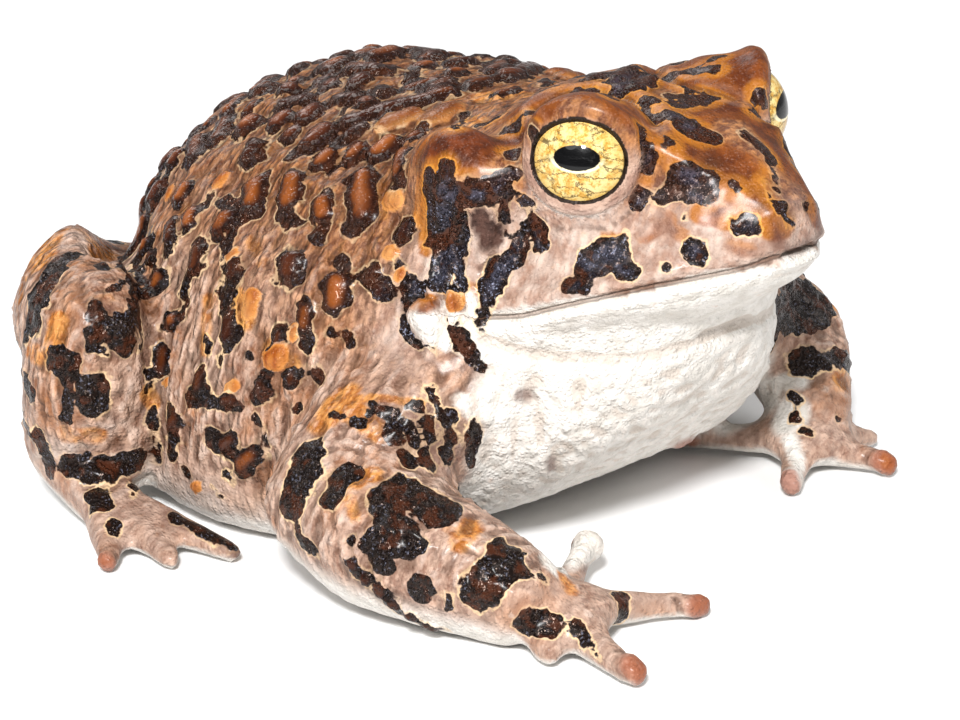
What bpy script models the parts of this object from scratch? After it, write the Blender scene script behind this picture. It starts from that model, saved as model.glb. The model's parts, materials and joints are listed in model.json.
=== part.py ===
"""Yosemite toad, a still life-size model standing on its four feet.

The toad looks along +X, its left side is +Y and +Z is up. Sizes are in millimetres and turned into
metres as each form is made. The animal is modelled whole from blended forms, then parted into its
named pieces by thin cuts.
"""
import math
import random

import bmesh
import bpy
from mathutils import Matrix, Vector
from mathutils.bvhtree import BVHTree

MM = 0.001

# Driving dimensions of the animal, millimetres.
GAP = 0.3
VOXEL = 0.7
BODY_SMOOTHING = 8
LIMB_SMOOTHING = 4
FLOOR = 0.0
SEED = 17

# Triangles that each form is brought down to before it is parted and given its warts.
TRUNK_TRIANGLES = 3300
LIMB_TRIANGLES = 320
FOOT_TRIANGLES = 520

# Torso rings: place along X, lowest, widest and highest level, half width.
TORSO_RINGS = (
    (-35.4, 6.0, 11.0, 16.0, 6.0),
    (-32.0, 2.5, 10.5, 23.0, 14.2),
    (-26.0, 0.3, 8.6, 29.2, 21.2),
    (-16.0, -0.8, 7.2, 32.4, 25.8),
    (-5.0, -0.8, 7.2, 33.1, 27.0),
    (4.0, -0.2, 10.6, 33.8, 22.2),
    (11.0, 2.8, 16.0, 34.6, 17.4),
    (17.0, 7.6, 18.5, 34.0, 13.0),
    (21.8, 12.8, 20.0, 31.0, 8.2),
    (24.0, 17.2, 21.0, 27.0, 4.0),
)
UPPER_FULLNESS = 2.0
LOWER_FULLNESS = 6.0
# Head rings: place along X, underside of the jaw, mouth line, crown, half width at the lip and at the crown.
HEAD_RINGS = (
    (5.0, 18.5, 21.0, 35.0, 14.0, 8.5),
    (10.0, 17.5, 20.8, 36.0, 15.0, 8.8),
    (15.0, 17.8, 21.6, 36.3, 14.6, 8.0),
    (20.0, 18.9, 23.0, 35.4, 12.0, 6.2),
    (24.5, 20.6, 24.6, 34.2, 8.8, 4.3),
    (28.0, 22.6, 25.8, 32.7, 5.8, 3.0),
    (30.6, 24.4, 26.8, 30.8, 3.0, 2.0),
)
# The eyes: centre, size and the way the pupil looks, on the left side; the right is its mirror image.
EYE_CENTRE = (16.5, 7.9, 32.6)
EYE_RADIUS = 4.25
EYE_AXIS = (0.52, 0.83, 0.20)
LID_OPENING = 3.3
LID_THICKNESS = 0.75
LID_ROLL = 0.9
LID_STEPS = 24
SOCKET_CORNERS = 20
OPENING_DEPTH = 4.6
OPENING_RADII = (LID_OPENING - 0.5, LID_OPENING + 1.2)
BROW_CENTRE = (16.0, 7.2, 33.3)
BROW_RADII = (5.1, 4.4, 3.9)
BROW_TURN = 12.0
PAROTOID_CENTRE = (7.8, 12.0, 28.8)
PAROTOID_RADII = (6.0, 3.6, 5.5)
PAROTOID_TURN = -12.0
EARDRUM_CENTRE = (11.4, 13.6, 25.4)
EARDRUM_RADII = (2.0, 0.9, 2.6)
CORNER_GLAND_CENTRE = (3.6, 17.2, 20.6)
CORNER_GLAND_RADII = (2.4, 2.0, 2.2)
CANTHUS_RIDGE = ((20.5, 6.0, 33.6, 1.2), (25.0, 4.2, 32.9, 0.95), (29.2, 2.3, 31.2, 0.9))
NOSTRIL_SWELLING_CENTRE = (29.6, 2.1, 30.2)
NOSTRIL_SWELLING_RADII = (1.7, 1.3, 1.3)
NOSTRIL_CENTRE = (30.7, 2.6, 30.9)
NOSTRIL_RADIUS = 0.63

# The lip runs from the corner of the mouth to the snout: place along X, half width, level.
LIP_LINE = ((13.0, 14.5, 20.8), (17.5, 13.2, 22.2), (22.0, 10.6, 23.7), (26.0, 7.0, 25.0), (29.0, 3.8, 26.1),
            (30.6, 1.5, 26.7))
# Heights of the upper and lower lip rolls above the lip line, with their radii.
LIP_ROLLS = ((0.75, 0.75), (-0.85, 0.7))

# Thin cuts that part the trunk: a point on each, its slope or lean, and the plate's length and width.
MOUTH_POINT = (23.0, 0.0, 24.06)
MOUTH_SLOPE = 0.323
MOUTH_PLATE = (30.4, 44.0)
FOLD_POINT = (22.6, 0.0, 19.8)
FOLD_SLOPE = 0.14
FOLD_PLATE = (28.0, 44.0)
NECK_LEAN = 36.0
NECK_POINT = (3.0, 0.0, 28.0)
NECK_PLATE = (27.0, 60.0)
NECK_CLEARANCE = 3.2

# Rows of warts: degrees from straight up, and where the rows start and end along X.
WART_ROWS = (9.0, 28.0, 46.0, 66.0)
WARTS_PER_ROW = 7
WART_FIRST = -29.0
WART_LAST = 3.0
WART_SIZES = (1.15, 1.9)
WART_LENGTHS = (1.1, 1.6)
WART_HEIGHT = 0.85
WART_SINK = 0.25
WART_AIM_LEVEL = 12.0
WART_JITTER = 1.2
WART_TURN_JITTER = 4.0


def metres(point):
    return Vector(point) * MM


def new_object(name, bm, collection=None):
    """An object of the mesh in a collection, or in the scene's own where none is named."""
    mesh = bpy.data.meshes.new(name)
    bm.to_mesh(mesh)
    bm.free()
    obj = bpy.data.objects.new(name, mesh)
    home = collection or bpy.context.scene.collection
    home.objects.link(obj)
    return obj


def mirrored(point, s):
    """A point given for the left side, on the side of s."""
    return Vector((point[0], s * point[1], point[2]))


def ball(bm, centre, radii, turn=(0.0, 0.0, 0.0), segments=24):
    """An ellipsoid, turned by degrees about X, Y and Z."""
    rotation = Matrix.Identity(4)
    for angle, axis in zip(turn, "XYZ"):
        rotation = Matrix.Rotation(math.radians(angle), 4, axis) @ rotation
    place = Matrix.Translation(metres(centre)) @ rotation @ Matrix.Diagonal((*metres(radii), 1.0))
    bmesh.ops.create_uvsphere(bm, u_segments=segments, v_segments=segments // 2, radius=1.0, matrix=place)


def tube(bm, path, segments=16, steps=6):
    """A limb of balls and round sleeves along a smooth path of (x, y, z, radius)."""
    points = [Vector(p) for p in path]
    smooth = []
    for i in range(len(points) - 1):
        before = points[max(i - 1, 0)]
        after = points[min(i + 2, len(points) - 1)]
        for s in range(steps):
            t = s / steps
            a, b = points[i], points[i + 1]
            smooth.append(0.5 * (2 * a + (b - before) * t + (2 * before - 5 * a + 4 * b - after) * t * t
                                 + (3 * a - before - 3 * b + after) * t ** 3))
    smooth.append(points[-1])
    rings = []
    for i, p in enumerate(smooth):
        ahead = smooth[min(i + 1, len(smooth) - 1)].to_3d() - smooth[max(i - 1, 0)].to_3d()
        frame = ahead.to_track_quat("Z", "Y").to_matrix().to_4x4()
        place = Matrix.Translation(p.to_3d() * MM) @ frame
        made = bmesh.ops.create_circle(bm, segments=segments, radius=p.w * MM, matrix=place)
        rings.append(made["verts"])
    for low, high in zip(rings, rings[1:]):
        sides = [e for v in low for e in v.link_edges if e.other_vert(v) in low]
        tops = [e for v in high for e in v.link_edges if e.other_vert(v) in high]
        bmesh.ops.bridge_loops(bm, edges=list(set(sides + tops)))
    for ring in (rings[0], rings[-1]):
        bmesh.ops.contextual_create(bm, geom=ring)
    for end in (smooth[0], smooth[-1]):
        ball(bm, end.to_3d(), (end.w,) * 3, segments=segments)


def ring_loft(bm, rings):
    """A closed form through rings of equal count, each a list of points, capped at both ends."""
    loops = []
    for ring in rings:
        verts = [bm.verts.new(metres(p)) for p in ring]
        edges = [bm.edges.new((verts[i - 1], verts[i])) for i in range(len(verts))]
        loops.append((verts, edges))
    for low, high in zip(loops, loops[1:]):
        bmesh.ops.bridge_loops(bm, edges=low[1] + high[1])
    for verts, _ in (loops[0], loops[-1]):
        bm.faces.new(verts)


def torso_ring(x, low, wide, high, half, corners=20):
    points = []
    for i in range(corners):
        turn = 2 * math.pi * i / corners
        c, s = math.cos(turn), math.sin(turn)
        fullness = UPPER_FULLNESS if s > 0 else LOWER_FULLNESS
        y = half * math.copysign(abs(c) ** (2 / fullness), c)
        reach = (high - wide) if s > 0 else (wide - low)
        z = wide + reach * math.copysign(abs(s) ** (2 / fullness), s)
        points.append((x, y, z))
    return points


def head_ring(x, low, lip, high, half, crown):
    rise = high - lip
    side = [
        (0.55 * half, low + 0.06 * (lip - low)),
        (0.93 * half, low + 0.45 * (lip - low)),
        (half, lip),
        (half + 0.30 * (crown - half), lip + 0.34 * rise),
        (half + 0.80 * (crown - half), lip + 0.72 * rise),
        (crown * 0.86, lip + 0.95 * rise),
        (crown * 0.40, high),
    ]
    right = [(x, -y, z) for y, z in side]
    left = [(x, y, z) for y, z in reversed(side)]
    return right + left


def soften(obj, levels):
    modifier = obj.modifiers.new("round", "SUBSURF")
    modifier.levels = levels
    modifier.render_levels = levels


def evaluated(obj):
    """The object's mesh with its modifiers applied, as a new mesh."""
    depsgraph = bpy.context.evaluated_depsgraph_get()
    return bpy.data.meshes.new_from_object(obj.evaluated_get(depsgraph))


def apply_modifiers(obj):
    made = evaluated(obj)
    obj.modifiers.clear()
    obj.data = made


ARM = {
    "right": dict(
        shoulder=(8.0, -13.5, 13.0, 7.2), mid=(7.0, -20.3, 10.2, 6.0), elbow=(6.0, -25.0, 7.2, 4.8),
        fore=(12.5, -24.2, 5.8, 5.8), wrist=(22.2, -21.3, 3.8, 4.1)),
    "left": dict(
        shoulder=(8.0, 13.5, 13.0, 7.2), mid=(6.5, 20.0, 11.0, 6.0), elbow=(5.0, 25.0, 9.0, 5.0),
        fore=(9.5, 24.0, 7.6, 5.0), wrist=(14.0, 21.5, 4.2, 3.6)),
}
HANDS = {
    "right": dict(palm=(24.8, -18.8, 2.3), radii=(4.8, 4.0, 2.2), turn=20.0, digits=(
        ((21.5, -14.5, 2.0, 1.3), (19.2, -11.0, 2.0, 1.0), (17.6, -8.6, 1.9, 1.35)),
        ((26.5, -14.6, 1.7, 1.5), (28.0, -11.4, 1.3, 1.15), (29.8, -8.6, 1.0, 1.0)),
        ((28.5, -19.5, 1.7, 1.6), (31.6, -20.2, 1.4, 1.2), (34.2, -20.5, 1.1, 1.1)),
        ((26.0, -21.6, 1.6, 1.4), (28.0, -22.6, 1.1, 1.1)),
    )),
    "left": dict(palm=(14.9, 19.8, 2.2), radii=(4.6, 4.0, 2.1), turn=-20.0, digits=(
        ((12.4, 17.4, 1.9, 1.4), (9.2, 15.6, 1.6, 1.2), (6.6, 14.3, 1.2, 1.2)),
        ((16.8, 16.8, 1.6, 1.35), (18.2, 14.6, 1.2, 1.15), (19.2, 13.6, 1.0, 1.0)),
        ((17.4, 19.8, 1.6, 1.35), (20.0, 21.4, 1.3, 1.15), (21.8, 22.1, 1.1, 1.1)),
        ((16.0, 22.2, 1.6, 1.3), (16.8, 24.2, 1.2, 1.1), (17.2, 25.6, 1.0, 1.0)),
    )),
}
LEG = {
    side: dict(
        hip=(-27.0, s * 13.0, 11.0, 7.6), thigh=(-24.5, s * 22.6, 13.4, 6.6),
        knee=(-17.8, s * 27.6, 15.0, 5.2), shank=(-18.2, s * 28.4, 10.0, 5.2),
        ankle=(-20.4, s * 28.6, 5.0, 3.8), foot=(-14.8, s * 29.8, 2.5, 2.6))
    for side, s in (("right", -1.0), ("left", 1.0))
}
PALM_THICKNESS = 2.2
FINGER_ROOT = 1.5
# Toes of the right and left foot: where each tip rests, and a toe's radius at root, middle and tip.
TOES = ((-2.0, 27.2), (-4.2, 31.4), (-7.2, 35.0), (-10.2, 33.4), (-12.6, 31.6))
TOE_ROOT = (2.2, 2.0)
TOE_MIDDLE = (1.6, 1.45)
TOE_TIP = (0.85, 0.95)

COLOURS = {"trunk": (0.45, 0.25, 0.14), "belly": (0.80, 0.70, 0.58), "eye": (0.75, 0.55, 0.16)}


def skin_material(name, colour, roughness):
    material = bpy.data.materials.new(name)
    material.use_nodes = True
    shader = material.node_tree.nodes["Principled BSDF"]
    shader.inputs["Base Color"].default_value = (*colour, 1.0)
    shader.inputs["Roughness"].default_value = roughness
    shader.inputs["Metallic"].default_value = 0.0
    return material


def fuse(bm, name, smoothing, triangles, parts):
    """Overlapping closed forms become one smooth closed body of few triangles."""
    obj = new_object(name, bm, parts)
    join = obj.modifiers.new("join", "REMESH")
    join.mode = "VOXEL"
    join.voxel_size = VOXEL * MM
    blend = obj.modifiers.new("blend", "SMOOTH")
    blend.factor = 0.5
    blend.iterations = smoothing
    apply_modifiers(obj)
    coarse = obj.modifiers.new("coarse", "DECIMATE")
    coarse.ratio = min(1.0, triangles / (2.0 * len(obj.data.polygons)))
    apply_modifiers(obj)
    return obj


def combine(obj, other, operation):
    """The object united with, cut by or kept within another, as its own mesh."""
    boolean = obj.modifiers.new("cut", "BOOLEAN")
    boolean.operation = operation
    boolean.object = other
    apply_modifiers(obj)


def cut_clear(obj, neighbours):
    """Cuts a limb back to a thin gap from each neighbour that it grows from."""
    for neighbour in neighbours:
        cutter = bpy.data.objects.new("cutter", neighbour.data.copy())
        bpy.context.scene.collection.objects.link(cutter)
        swell = cutter.modifiers.new("gap", "DISPLACE")
        swell.mid_level = 0.0
        swell.strength = GAP * MM
        apply_modifiers(cutter)
        combine(obj, cutter, "DIFFERENCE")
        bpy.data.objects.remove(cutter)
    keep_largest(obj)


def keep_largest(obj):
    """Only the largest closed surface stays."""
    bm = bmesh.new()
    bm.from_mesh(obj.data)
    bmesh.ops.remove_doubles(bm, verts=bm.verts, dist=2e-6)
    bmesh.ops.triangulate(bm, faces=bm.faces)
    islands = face_islands(bm)
    for island in islands[1:]:
        bmesh.ops.delete(bm, geom=island, context="FACES")
    loose = [v for v in bm.verts if not v.link_faces]
    bmesh.ops.delete(bm, geom=loose, context="VERTS")
    bm.to_mesh(obj.data)
    bm.free()


def face_islands(bm):
    """Lists of connected faces, the largest first."""
    left = set(bm.faces)
    islands = []
    while left:
        stack = [left.pop()]
        island = []
        while stack:
            face = stack.pop()
            island.append(face)
            for edge in face.edges:
                for other in edge.link_faces:
                    if other in left:
                        left.remove(other)
                        stack.append(other)
        islands.append(island)
    return sorted(islands, key=len, reverse=True)


def slab(centre, normal, size, spin=0.0):
    """A thin plate that parts a form, as wide and tall as size, with its face along normal."""
    bm = bmesh.new()
    turn = Vector(normal).to_track_quat("Z", "X").to_matrix().to_4x4()
    place = (Matrix.Translation(metres(centre)) @ turn @ Matrix.Rotation(spin, 4, "Z")
             @ Matrix.Diagonal((size[0] * MM, size[1] * MM, GAP * MM, 1.0)))
    bmesh.ops.create_cube(bm, size=1.0, matrix=place)
    return bm


def trunk_form(parts):
    bm = bmesh.new()
    ring_loft(bm, [torso_ring(*ring) for ring in TORSO_RINGS])
    torso = new_object("torso_cage", bm, parts)
    bm = bmesh.new()
    ring_loft(bm, [head_ring(*ring) for ring in HEAD_RINGS])
    head = new_object("head_cage", bm, parts)
    bm = bmesh.new()
    for cage in (torso, head):
        soften(cage, 2)
        apply_modifiers(cage)
        bm.from_mesh(cage.data)
        bpy.data.objects.remove(cage)
    for s in (-1.0, 1.0):
        head_features(bm, s)
    return fuse(bm, "trunk", BODY_SMOOTHING, TRUNK_TRIANGLES, parts)


def eye_frame(s):
    """Centre of the eyeball, the way it looks, a turn that points Z that way, and the lid opening's depth."""
    eye = mirrored(EYE_CENTRE, s)
    axis = mirrored(EYE_AXIS, s).normalized()
    turn = axis.to_track_quat("Z", "Y").to_matrix().to_4x4()
    depth = math.sqrt(EYE_RADIUS ** 2 - LID_OPENING ** 2)
    return eye, axis, turn, depth


def head_features(bm, s):
    """Brow, lids, parotoid gland, eardrum, lips, canthus ridge and the swelling round one nostril."""
    eye, axis, turn, depth = eye_frame(s)
    ball(bm, mirrored(BROW_CENTRE, s), BROW_RADII, (s * BROW_TURN, 0, 0))
    ball(bm, mirrored(PAROTOID_CENTRE, s), PAROTOID_RADII, (s * PAROTOID_TURN, 0, 0))
    ball(bm, mirrored(EARDRUM_CENTRE, s), EARDRUM_RADII)
    ball(bm, mirrored(CORNER_GLAND_CENTRE, s), CORNER_GLAND_RADII)
    ball(bm, mirrored(NOSTRIL_SWELLING_CENTRE, s), NOSTRIL_SWELLING_RADII)
    tube(bm, [(*mirrored(p, s), p[3]) for p in CANTHUS_RIDGE], segments=10)
    reach = LID_OPENING + LID_THICKNESS
    rim = []
    for i in range(LID_STEPS + 1):
        angle = 2 * math.pi * i / LID_STEPS
        spot = eye + turn @ Vector((reach * math.cos(angle), reach * math.sin(angle), depth - 0.1))
        rim.append((*spot, LID_ROLL))
    tube(bm, rim, segments=8, steps=1)
    for rise, radius in LIP_ROLLS:
        tube(bm, [(x, s * y, z + rise, radius) for x, y, z in LIP_LINE], segments=8, steps=3)


def eye_socket(head, s, parts):
    """Hollows the socket and opens the lids, then sets the eyeball in it."""
    eye, axis, turn, depth = eye_frame(s)
    bm = bmesh.new()
    ball(bm, eye, (EYE_RADIUS + GAP,) * 3, segments=SOCKET_CORNERS)
    socket = new_object("socket", bm)
    bm = bmesh.new()
    place = Matrix.Translation(metres(eye + axis * (depth + 1.6))) @ turn
    bmesh.ops.create_cone(bm, cap_ends=True, segments=SOCKET_CORNERS, radius1=OPENING_RADII[0] * MM,
                          radius2=OPENING_RADII[1] * MM, depth=OPENING_DEPTH * MM, matrix=place)
    opening = new_object("opening", bm)
    for cutter in (socket, opening):
        combine(head, cutter, "DIFFERENCE")
        bpy.data.objects.remove(cutter)
    bm = bmesh.new()
    ball(bm, eye, (EYE_RADIUS,) * 3, segments=16)
    return new_object("eye_left" if s > 0 else "eye_right", bm, parts)


def neck_normal():
    lean = math.radians(NECK_LEAN)
    return Vector((math.cos(lean), 0.0, math.sin(lean)))


def part_trunk(trunk, parts):
    """Thin cuts part the trunk into head, lower jaw and torso."""
    plates = (
        slab(MOUTH_POINT, (-MOUTH_SLOPE, 0.0, 1.0), MOUTH_PLATE),
        slab(FOLD_POINT, (-FOLD_SLOPE, 0.0, 1.0), FOLD_PLATE),
        slab(NECK_POINT, neck_normal(), NECK_PLATE),
    )
    for i, plate in enumerate(plates):
        cutter = new_object(f"plate_{i}", plate)
        combine(trunk, cutter, "DIFFERENCE")
        bpy.data.objects.remove(cutter)
    bm = bmesh.new()
    bm.from_mesh(trunk.data)
    islands = face_islands(bm)
    made = []
    for island in islands[:3]:
        keep = {face.index for face in island}
        piece = bm.copy()
        piece.faces.ensure_lookup_table()
        drop = [face for face in piece.faces if face.index not in keep]
        bmesh.ops.delete(piece, geom=drop, context="FACES")
        made.append(new_object("piece", piece, parts))
    bm.free()
    bpy.data.objects.remove(trunk)
    for obj in made:
        keep_largest(obj)
    by_place = sorted(made, key=lambda o: sum(v.co.x for v in o.data.vertices) / len(o.data.vertices))
    torso = by_place[0]
    head, jaw = sorted(by_place[1:], key=lambda o: -max(v.co.z for v in o.data.vertices))
    for obj, name in ((torso, "torso"), (head, "head"), (jaw, "lower_jaw")):
        obj.name = name
    return torso, head, jaw


def limb_form(name, path, parts, triangles=LIMB_TRIANGLES):
    bm = bmesh.new()
    tube(bm, path)
    return fuse(bm, name, LIMB_SMOOTHING, triangles, parts)


def hand_form(side, parts):
    hand = HANDS[side]
    bm = bmesh.new()
    ball(bm, hand["palm"], hand["radii"], (0, 0, hand["turn"]))
    tube(bm, [ARM[side]["wrist"], (*hand["palm"], PALM_THICKNESS)])
    for digit in hand["digits"]:
        tube(bm, [(*hand["palm"], FINGER_ROOT)] + list(digit), segments=10, steps=3)
    return fuse(bm, f"hand_{side}", 2, FOOT_TRIANGLES, parts)


def foot_form(side, parts):
    s = -1.0 if side == "right" else 1.0
    leg = LEG[side]
    foot = leg["foot"]
    bm = bmesh.new()
    tube(bm, [leg["ankle"], foot])
    for x, y in TOES:
        root = (foot[0], foot[1], *TOE_ROOT)
        middle = ((foot[0] + x) / 2, (foot[1] + s * y) / 2, *TOE_MIDDLE)
        tube(bm, [root, middle, (x, s * y, *TOE_TIP)], segments=10, steps=3)
    return fuse(bm, f"foot_{side}", 2, FOOT_TRIANGLES, parts)


def level_underside(obj):
    """Trims whatever dips below the floor to a flat at the floor's level."""
    bm = bmesh.new()
    bm.from_mesh(obj.data)
    if min(v.co.z for v in bm.verts) < FLOOR * MM:
        geometry = bm.verts[:] + bm.edges[:] + bm.faces[:]
        cut = bmesh.ops.bisect_plane(bm, geom=geometry, dist=1e-7, plane_co=metres((0, 0, FLOOR)),
                                     plane_no=(0, 0, -1), clear_outer=True)
        edges = [e for e in cut["geom_cut"] if isinstance(e, bmesh.types.BMEdge)]
        bmesh.ops.holes_fill(bm, edges=edges, sides=0)
        bmesh.ops.triangulate(bm, faces=bm.faces)
        bm.to_mesh(obj.data)
    bm.free()


def add_warts(obj, spots, rng):
    """Domes sunk into the skin, one union for all of a node's warts."""
    surface = BVHTree.FromObject(obj, bpy.context.evaluated_depsgraph_get())
    heap = bpy.data.collections.new("warts")
    bpy.context.scene.collection.children.link(heap)
    for centre, outward, size in spots:
        hit, normal, _, _ = surface.ray_cast(metres(centre), Vector(outward).normalized())
        if hit is None or (hit - metres(NECK_POINT)).dot(neck_normal()) > -NECK_CLEARANCE * MM:
            continue
        bm = bmesh.new()
        long_way = rng.uniform(*WART_LENGTHS)
        upright = normal.to_track_quat("Z", "X").to_matrix().to_4x4()
        spread = Matrix.Diagonal((size * long_way * MM, size * MM, size * WART_HEIGHT * MM, 1.0))
        place = Matrix.Translation(hit - normal * WART_SINK * size * MM) @ upright @ spread
        bmesh.ops.create_uvsphere(bm, u_segments=8, v_segments=6, radius=1.0, matrix=place)
        new_object("wart", bm, heap)
    union = obj.modifiers.new("warts", "BOOLEAN")
    union.operation = "UNION"
    union.operand_type = "COLLECTION"
    union.collection = heap
    apply_modifiers(obj)
    for wart in list(heap.objects):
        bpy.data.objects.remove(wart)
    bpy.data.collections.remove(heap)
    keep_largest(obj)


def back_wart_spots(rng):
    """Rows of warts down each side of the back: where each is sought from, the way out, and its radius."""
    spots = []
    for row, angle in enumerate(WART_ROWS):
        count = WARTS_PER_ROW - row // 2
        for i in range(count):
            x = WART_FIRST + (WART_LAST - WART_FIRST) * (i + 0.5 * (row % 2)) / count
            for s in (-1.0, 1.0):
                turn = math.radians(angle + rng.uniform(-WART_TURN_JITTER, WART_TURN_JITTER))
                centre = (x + rng.uniform(-WART_JITTER, WART_JITTER), 0.0, WART_AIM_LEVEL)
                outward = (0.0, s * math.sin(turn), math.cos(turn))
                spots.append((centre, outward, rng.uniform(*WART_SIZES)))
    return spots


def add_nostrils(head):
    for s in (-1.0, 1.0):
        bm = bmesh.new()
        ball(bm, mirrored(NOSTRIL_CENTRE, s), (NOSTRIL_RADIUS,) * 3, segments=8)
        cutter = new_object("nostril", bm)
        combine(head, cutter, "DIFFERENCE")
        bpy.data.objects.remove(cutter)


def stand_on_origin(parts):
    """Moves every piece so that the origin is under the middle of the animal's box, on the floor."""
    points = [v.co for obj in parts.objects for v in obj.data.vertices]
    middle_x = (min(p.x for p in points) + max(p.x for p in points)) / 2
    middle_y = (min(p.y for p in points) + max(p.y for p in points)) / 2
    shift = Matrix.Translation((-middle_x, -middle_y, -min(p.z for p in points)))
    for obj in parts.objects:
        obj.data.transform(shift)


def main():
    for obj in list(bpy.data.objects):
        bpy.data.objects.remove(obj)
    parts = bpy.data.collections.new("yosemite_toad")
    bpy.context.scene.collection.children.link(parts)
    trunk = trunk_form(parts)
    level_underside(trunk)
    add_warts(trunk, back_wart_spots(random.Random(SEED)), random.Random(SEED + 1))
    limbs = []
    for side in ("right", "left"):
        arm = ARM[side]
        upper = limb_form(f"upper_arm_{side}", [arm[k] for k in ("shoulder", "mid", "elbow")], parts)
        fore = limb_form(f"forearm_{side}", [arm[k] for k in ("elbow", "fore", "wrist")], parts)
        hand = hand_form(side, parts)
        leg = LEG[side]
        thigh = limb_form(f"thigh_{side}", [leg[k] for k in ("hip", "thigh", "knee")], parts)
        shank = limb_form(f"shank_{side}", [leg[k] for k in ("knee", "shank", "ankle")], parts)
        foot = foot_form(side, parts)
        for obj in (upper, fore, hand, thigh, shank, foot):
            level_underside(obj)
        cut_clear(hand, (fore, trunk))
        cut_clear(fore, (upper, trunk))
        cut_clear(upper, (trunk,))
        cut_clear(foot, (shank, thigh, trunk))
        cut_clear(shank, (thigh, trunk))
        cut_clear(thigh, (trunk,))
        limbs += [upper, fore, hand, thigh, shank, foot]
    torso, head, jaw = part_trunk(trunk, parts)
    eyes = [eye_socket(head, s, parts) for s in (-1.0, 1.0)]
    add_nostrils(head)
    keep_largest(head)
    skin = skin_material("toad_back_skin", COLOURS["trunk"], 0.45)
    for obj in [torso, head] + limbs:
        obj.data.materials.clear()
        obj.data.materials.append(skin)
    jaw.data.materials.append(skin_material("toad_throat_skin", COLOURS["belly"], 0.5))
    for eye in eyes:
        eye.data.materials.append(skin_material("toad_eye", COLOURS["eye"], 0.1))
    stand_on_origin(parts)


main()
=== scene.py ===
"""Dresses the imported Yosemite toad: one warty, blotched skin, two wet gold eyes, and a stage."""
import json
import math
import random
from functools import partial

import bmesh
import bpy
import numpy as np
from bpy.props import FloatProperty, FloatVectorProperty, PointerProperty
from mathutils import Matrix, Vector, noise
from mathutils.bvhtree import BVHTree

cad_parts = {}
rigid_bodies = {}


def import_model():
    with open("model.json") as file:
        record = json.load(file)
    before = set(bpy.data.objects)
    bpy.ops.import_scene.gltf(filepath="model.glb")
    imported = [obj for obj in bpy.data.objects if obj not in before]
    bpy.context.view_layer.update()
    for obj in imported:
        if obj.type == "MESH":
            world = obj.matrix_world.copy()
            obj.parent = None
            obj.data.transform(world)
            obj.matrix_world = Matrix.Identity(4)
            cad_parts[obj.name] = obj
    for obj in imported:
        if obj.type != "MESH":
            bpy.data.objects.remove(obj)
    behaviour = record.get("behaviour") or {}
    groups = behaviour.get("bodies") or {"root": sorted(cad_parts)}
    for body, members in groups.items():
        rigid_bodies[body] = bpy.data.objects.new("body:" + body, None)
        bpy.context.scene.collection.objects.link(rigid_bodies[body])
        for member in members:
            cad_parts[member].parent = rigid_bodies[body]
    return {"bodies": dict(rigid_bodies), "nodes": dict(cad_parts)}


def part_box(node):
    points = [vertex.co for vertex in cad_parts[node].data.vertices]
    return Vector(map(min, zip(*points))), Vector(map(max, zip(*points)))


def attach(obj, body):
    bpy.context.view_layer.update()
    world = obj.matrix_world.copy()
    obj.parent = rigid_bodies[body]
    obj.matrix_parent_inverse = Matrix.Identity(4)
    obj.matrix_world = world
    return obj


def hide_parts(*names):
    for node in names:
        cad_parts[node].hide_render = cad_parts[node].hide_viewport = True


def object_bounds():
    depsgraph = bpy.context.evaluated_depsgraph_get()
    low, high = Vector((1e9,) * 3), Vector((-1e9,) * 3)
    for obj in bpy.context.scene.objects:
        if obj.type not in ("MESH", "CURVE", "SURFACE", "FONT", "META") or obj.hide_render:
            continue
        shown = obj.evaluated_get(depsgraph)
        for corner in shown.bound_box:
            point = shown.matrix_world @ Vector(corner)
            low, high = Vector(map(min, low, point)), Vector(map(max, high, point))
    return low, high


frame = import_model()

bl_info = {
    "name": "Yosemite toad dressing",
    "version": (1, 0, 0),
    "blender": (4, 5, 0),
    "location": "View3D > Sidebar > Toad",
    "description": "Builds the toad's skin, eyes and stage over its packed solids",
    "category": "Object",
}

MM = 0.001
CAD_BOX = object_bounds()
BODY = next(iter(frame["bodies"]))
EYE_NODES = ("eye_right", "eye_left")
FLESH_NODES = tuple(name for name in frame["nodes"] if name not in EYE_NODES)

# The photograph's frame and the camera that fits its landmarks, placed from the near eye.
PHOTO_WIDTH = 960
PHOTO_HEIGHT = 720
CAMERA_AZIMUTH = math.radians(46.0)
CAMERA_ELEVATION = math.radians(21.0)
CAMERA_DISTANCE = 222.0 * MM
CAMERA_FOCUS_PIXELS = 3365.0
SENSOR_WIDTH = 36.0
TARGET_FROM_NEAR_EYE = Vector((14.69, -25.03, -5.23)) * MM


def box_middle(node):
    low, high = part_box(node)
    return (Vector(low) + Vector(high)) / 2


NEAR_EYE = box_middle("eye_right")
FAR_EYE = box_middle("eye_left")
EYE_RADIUS = (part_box("eye_right")[1][2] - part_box("eye_right")[0][2]) / 2
CAMERA_TARGET = NEAR_EYE + TARGET_FROM_NEAR_EYE
CAMERA_BACK = Vector((math.sin(CAMERA_AZIMUTH) * math.cos(CAMERA_ELEVATION),
                      -math.cos(CAMERA_AZIMUTH) * math.cos(CAMERA_ELEVATION), math.sin(CAMERA_ELEVATION)))
CAMERA_RIGHT = Vector((math.cos(CAMERA_AZIMUTH), math.sin(CAMERA_AZIMUTH), 0.0))
CAMERA_UP = CAMERA_BACK.cross(CAMERA_RIGHT)
CAMERA_PLACE = CAMERA_TARGET + CAMERA_BACK * CAMERA_DISTANCE
MIDDLE_Y = (NEAR_EYE.y + FAR_EYE.y) / 2

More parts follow.
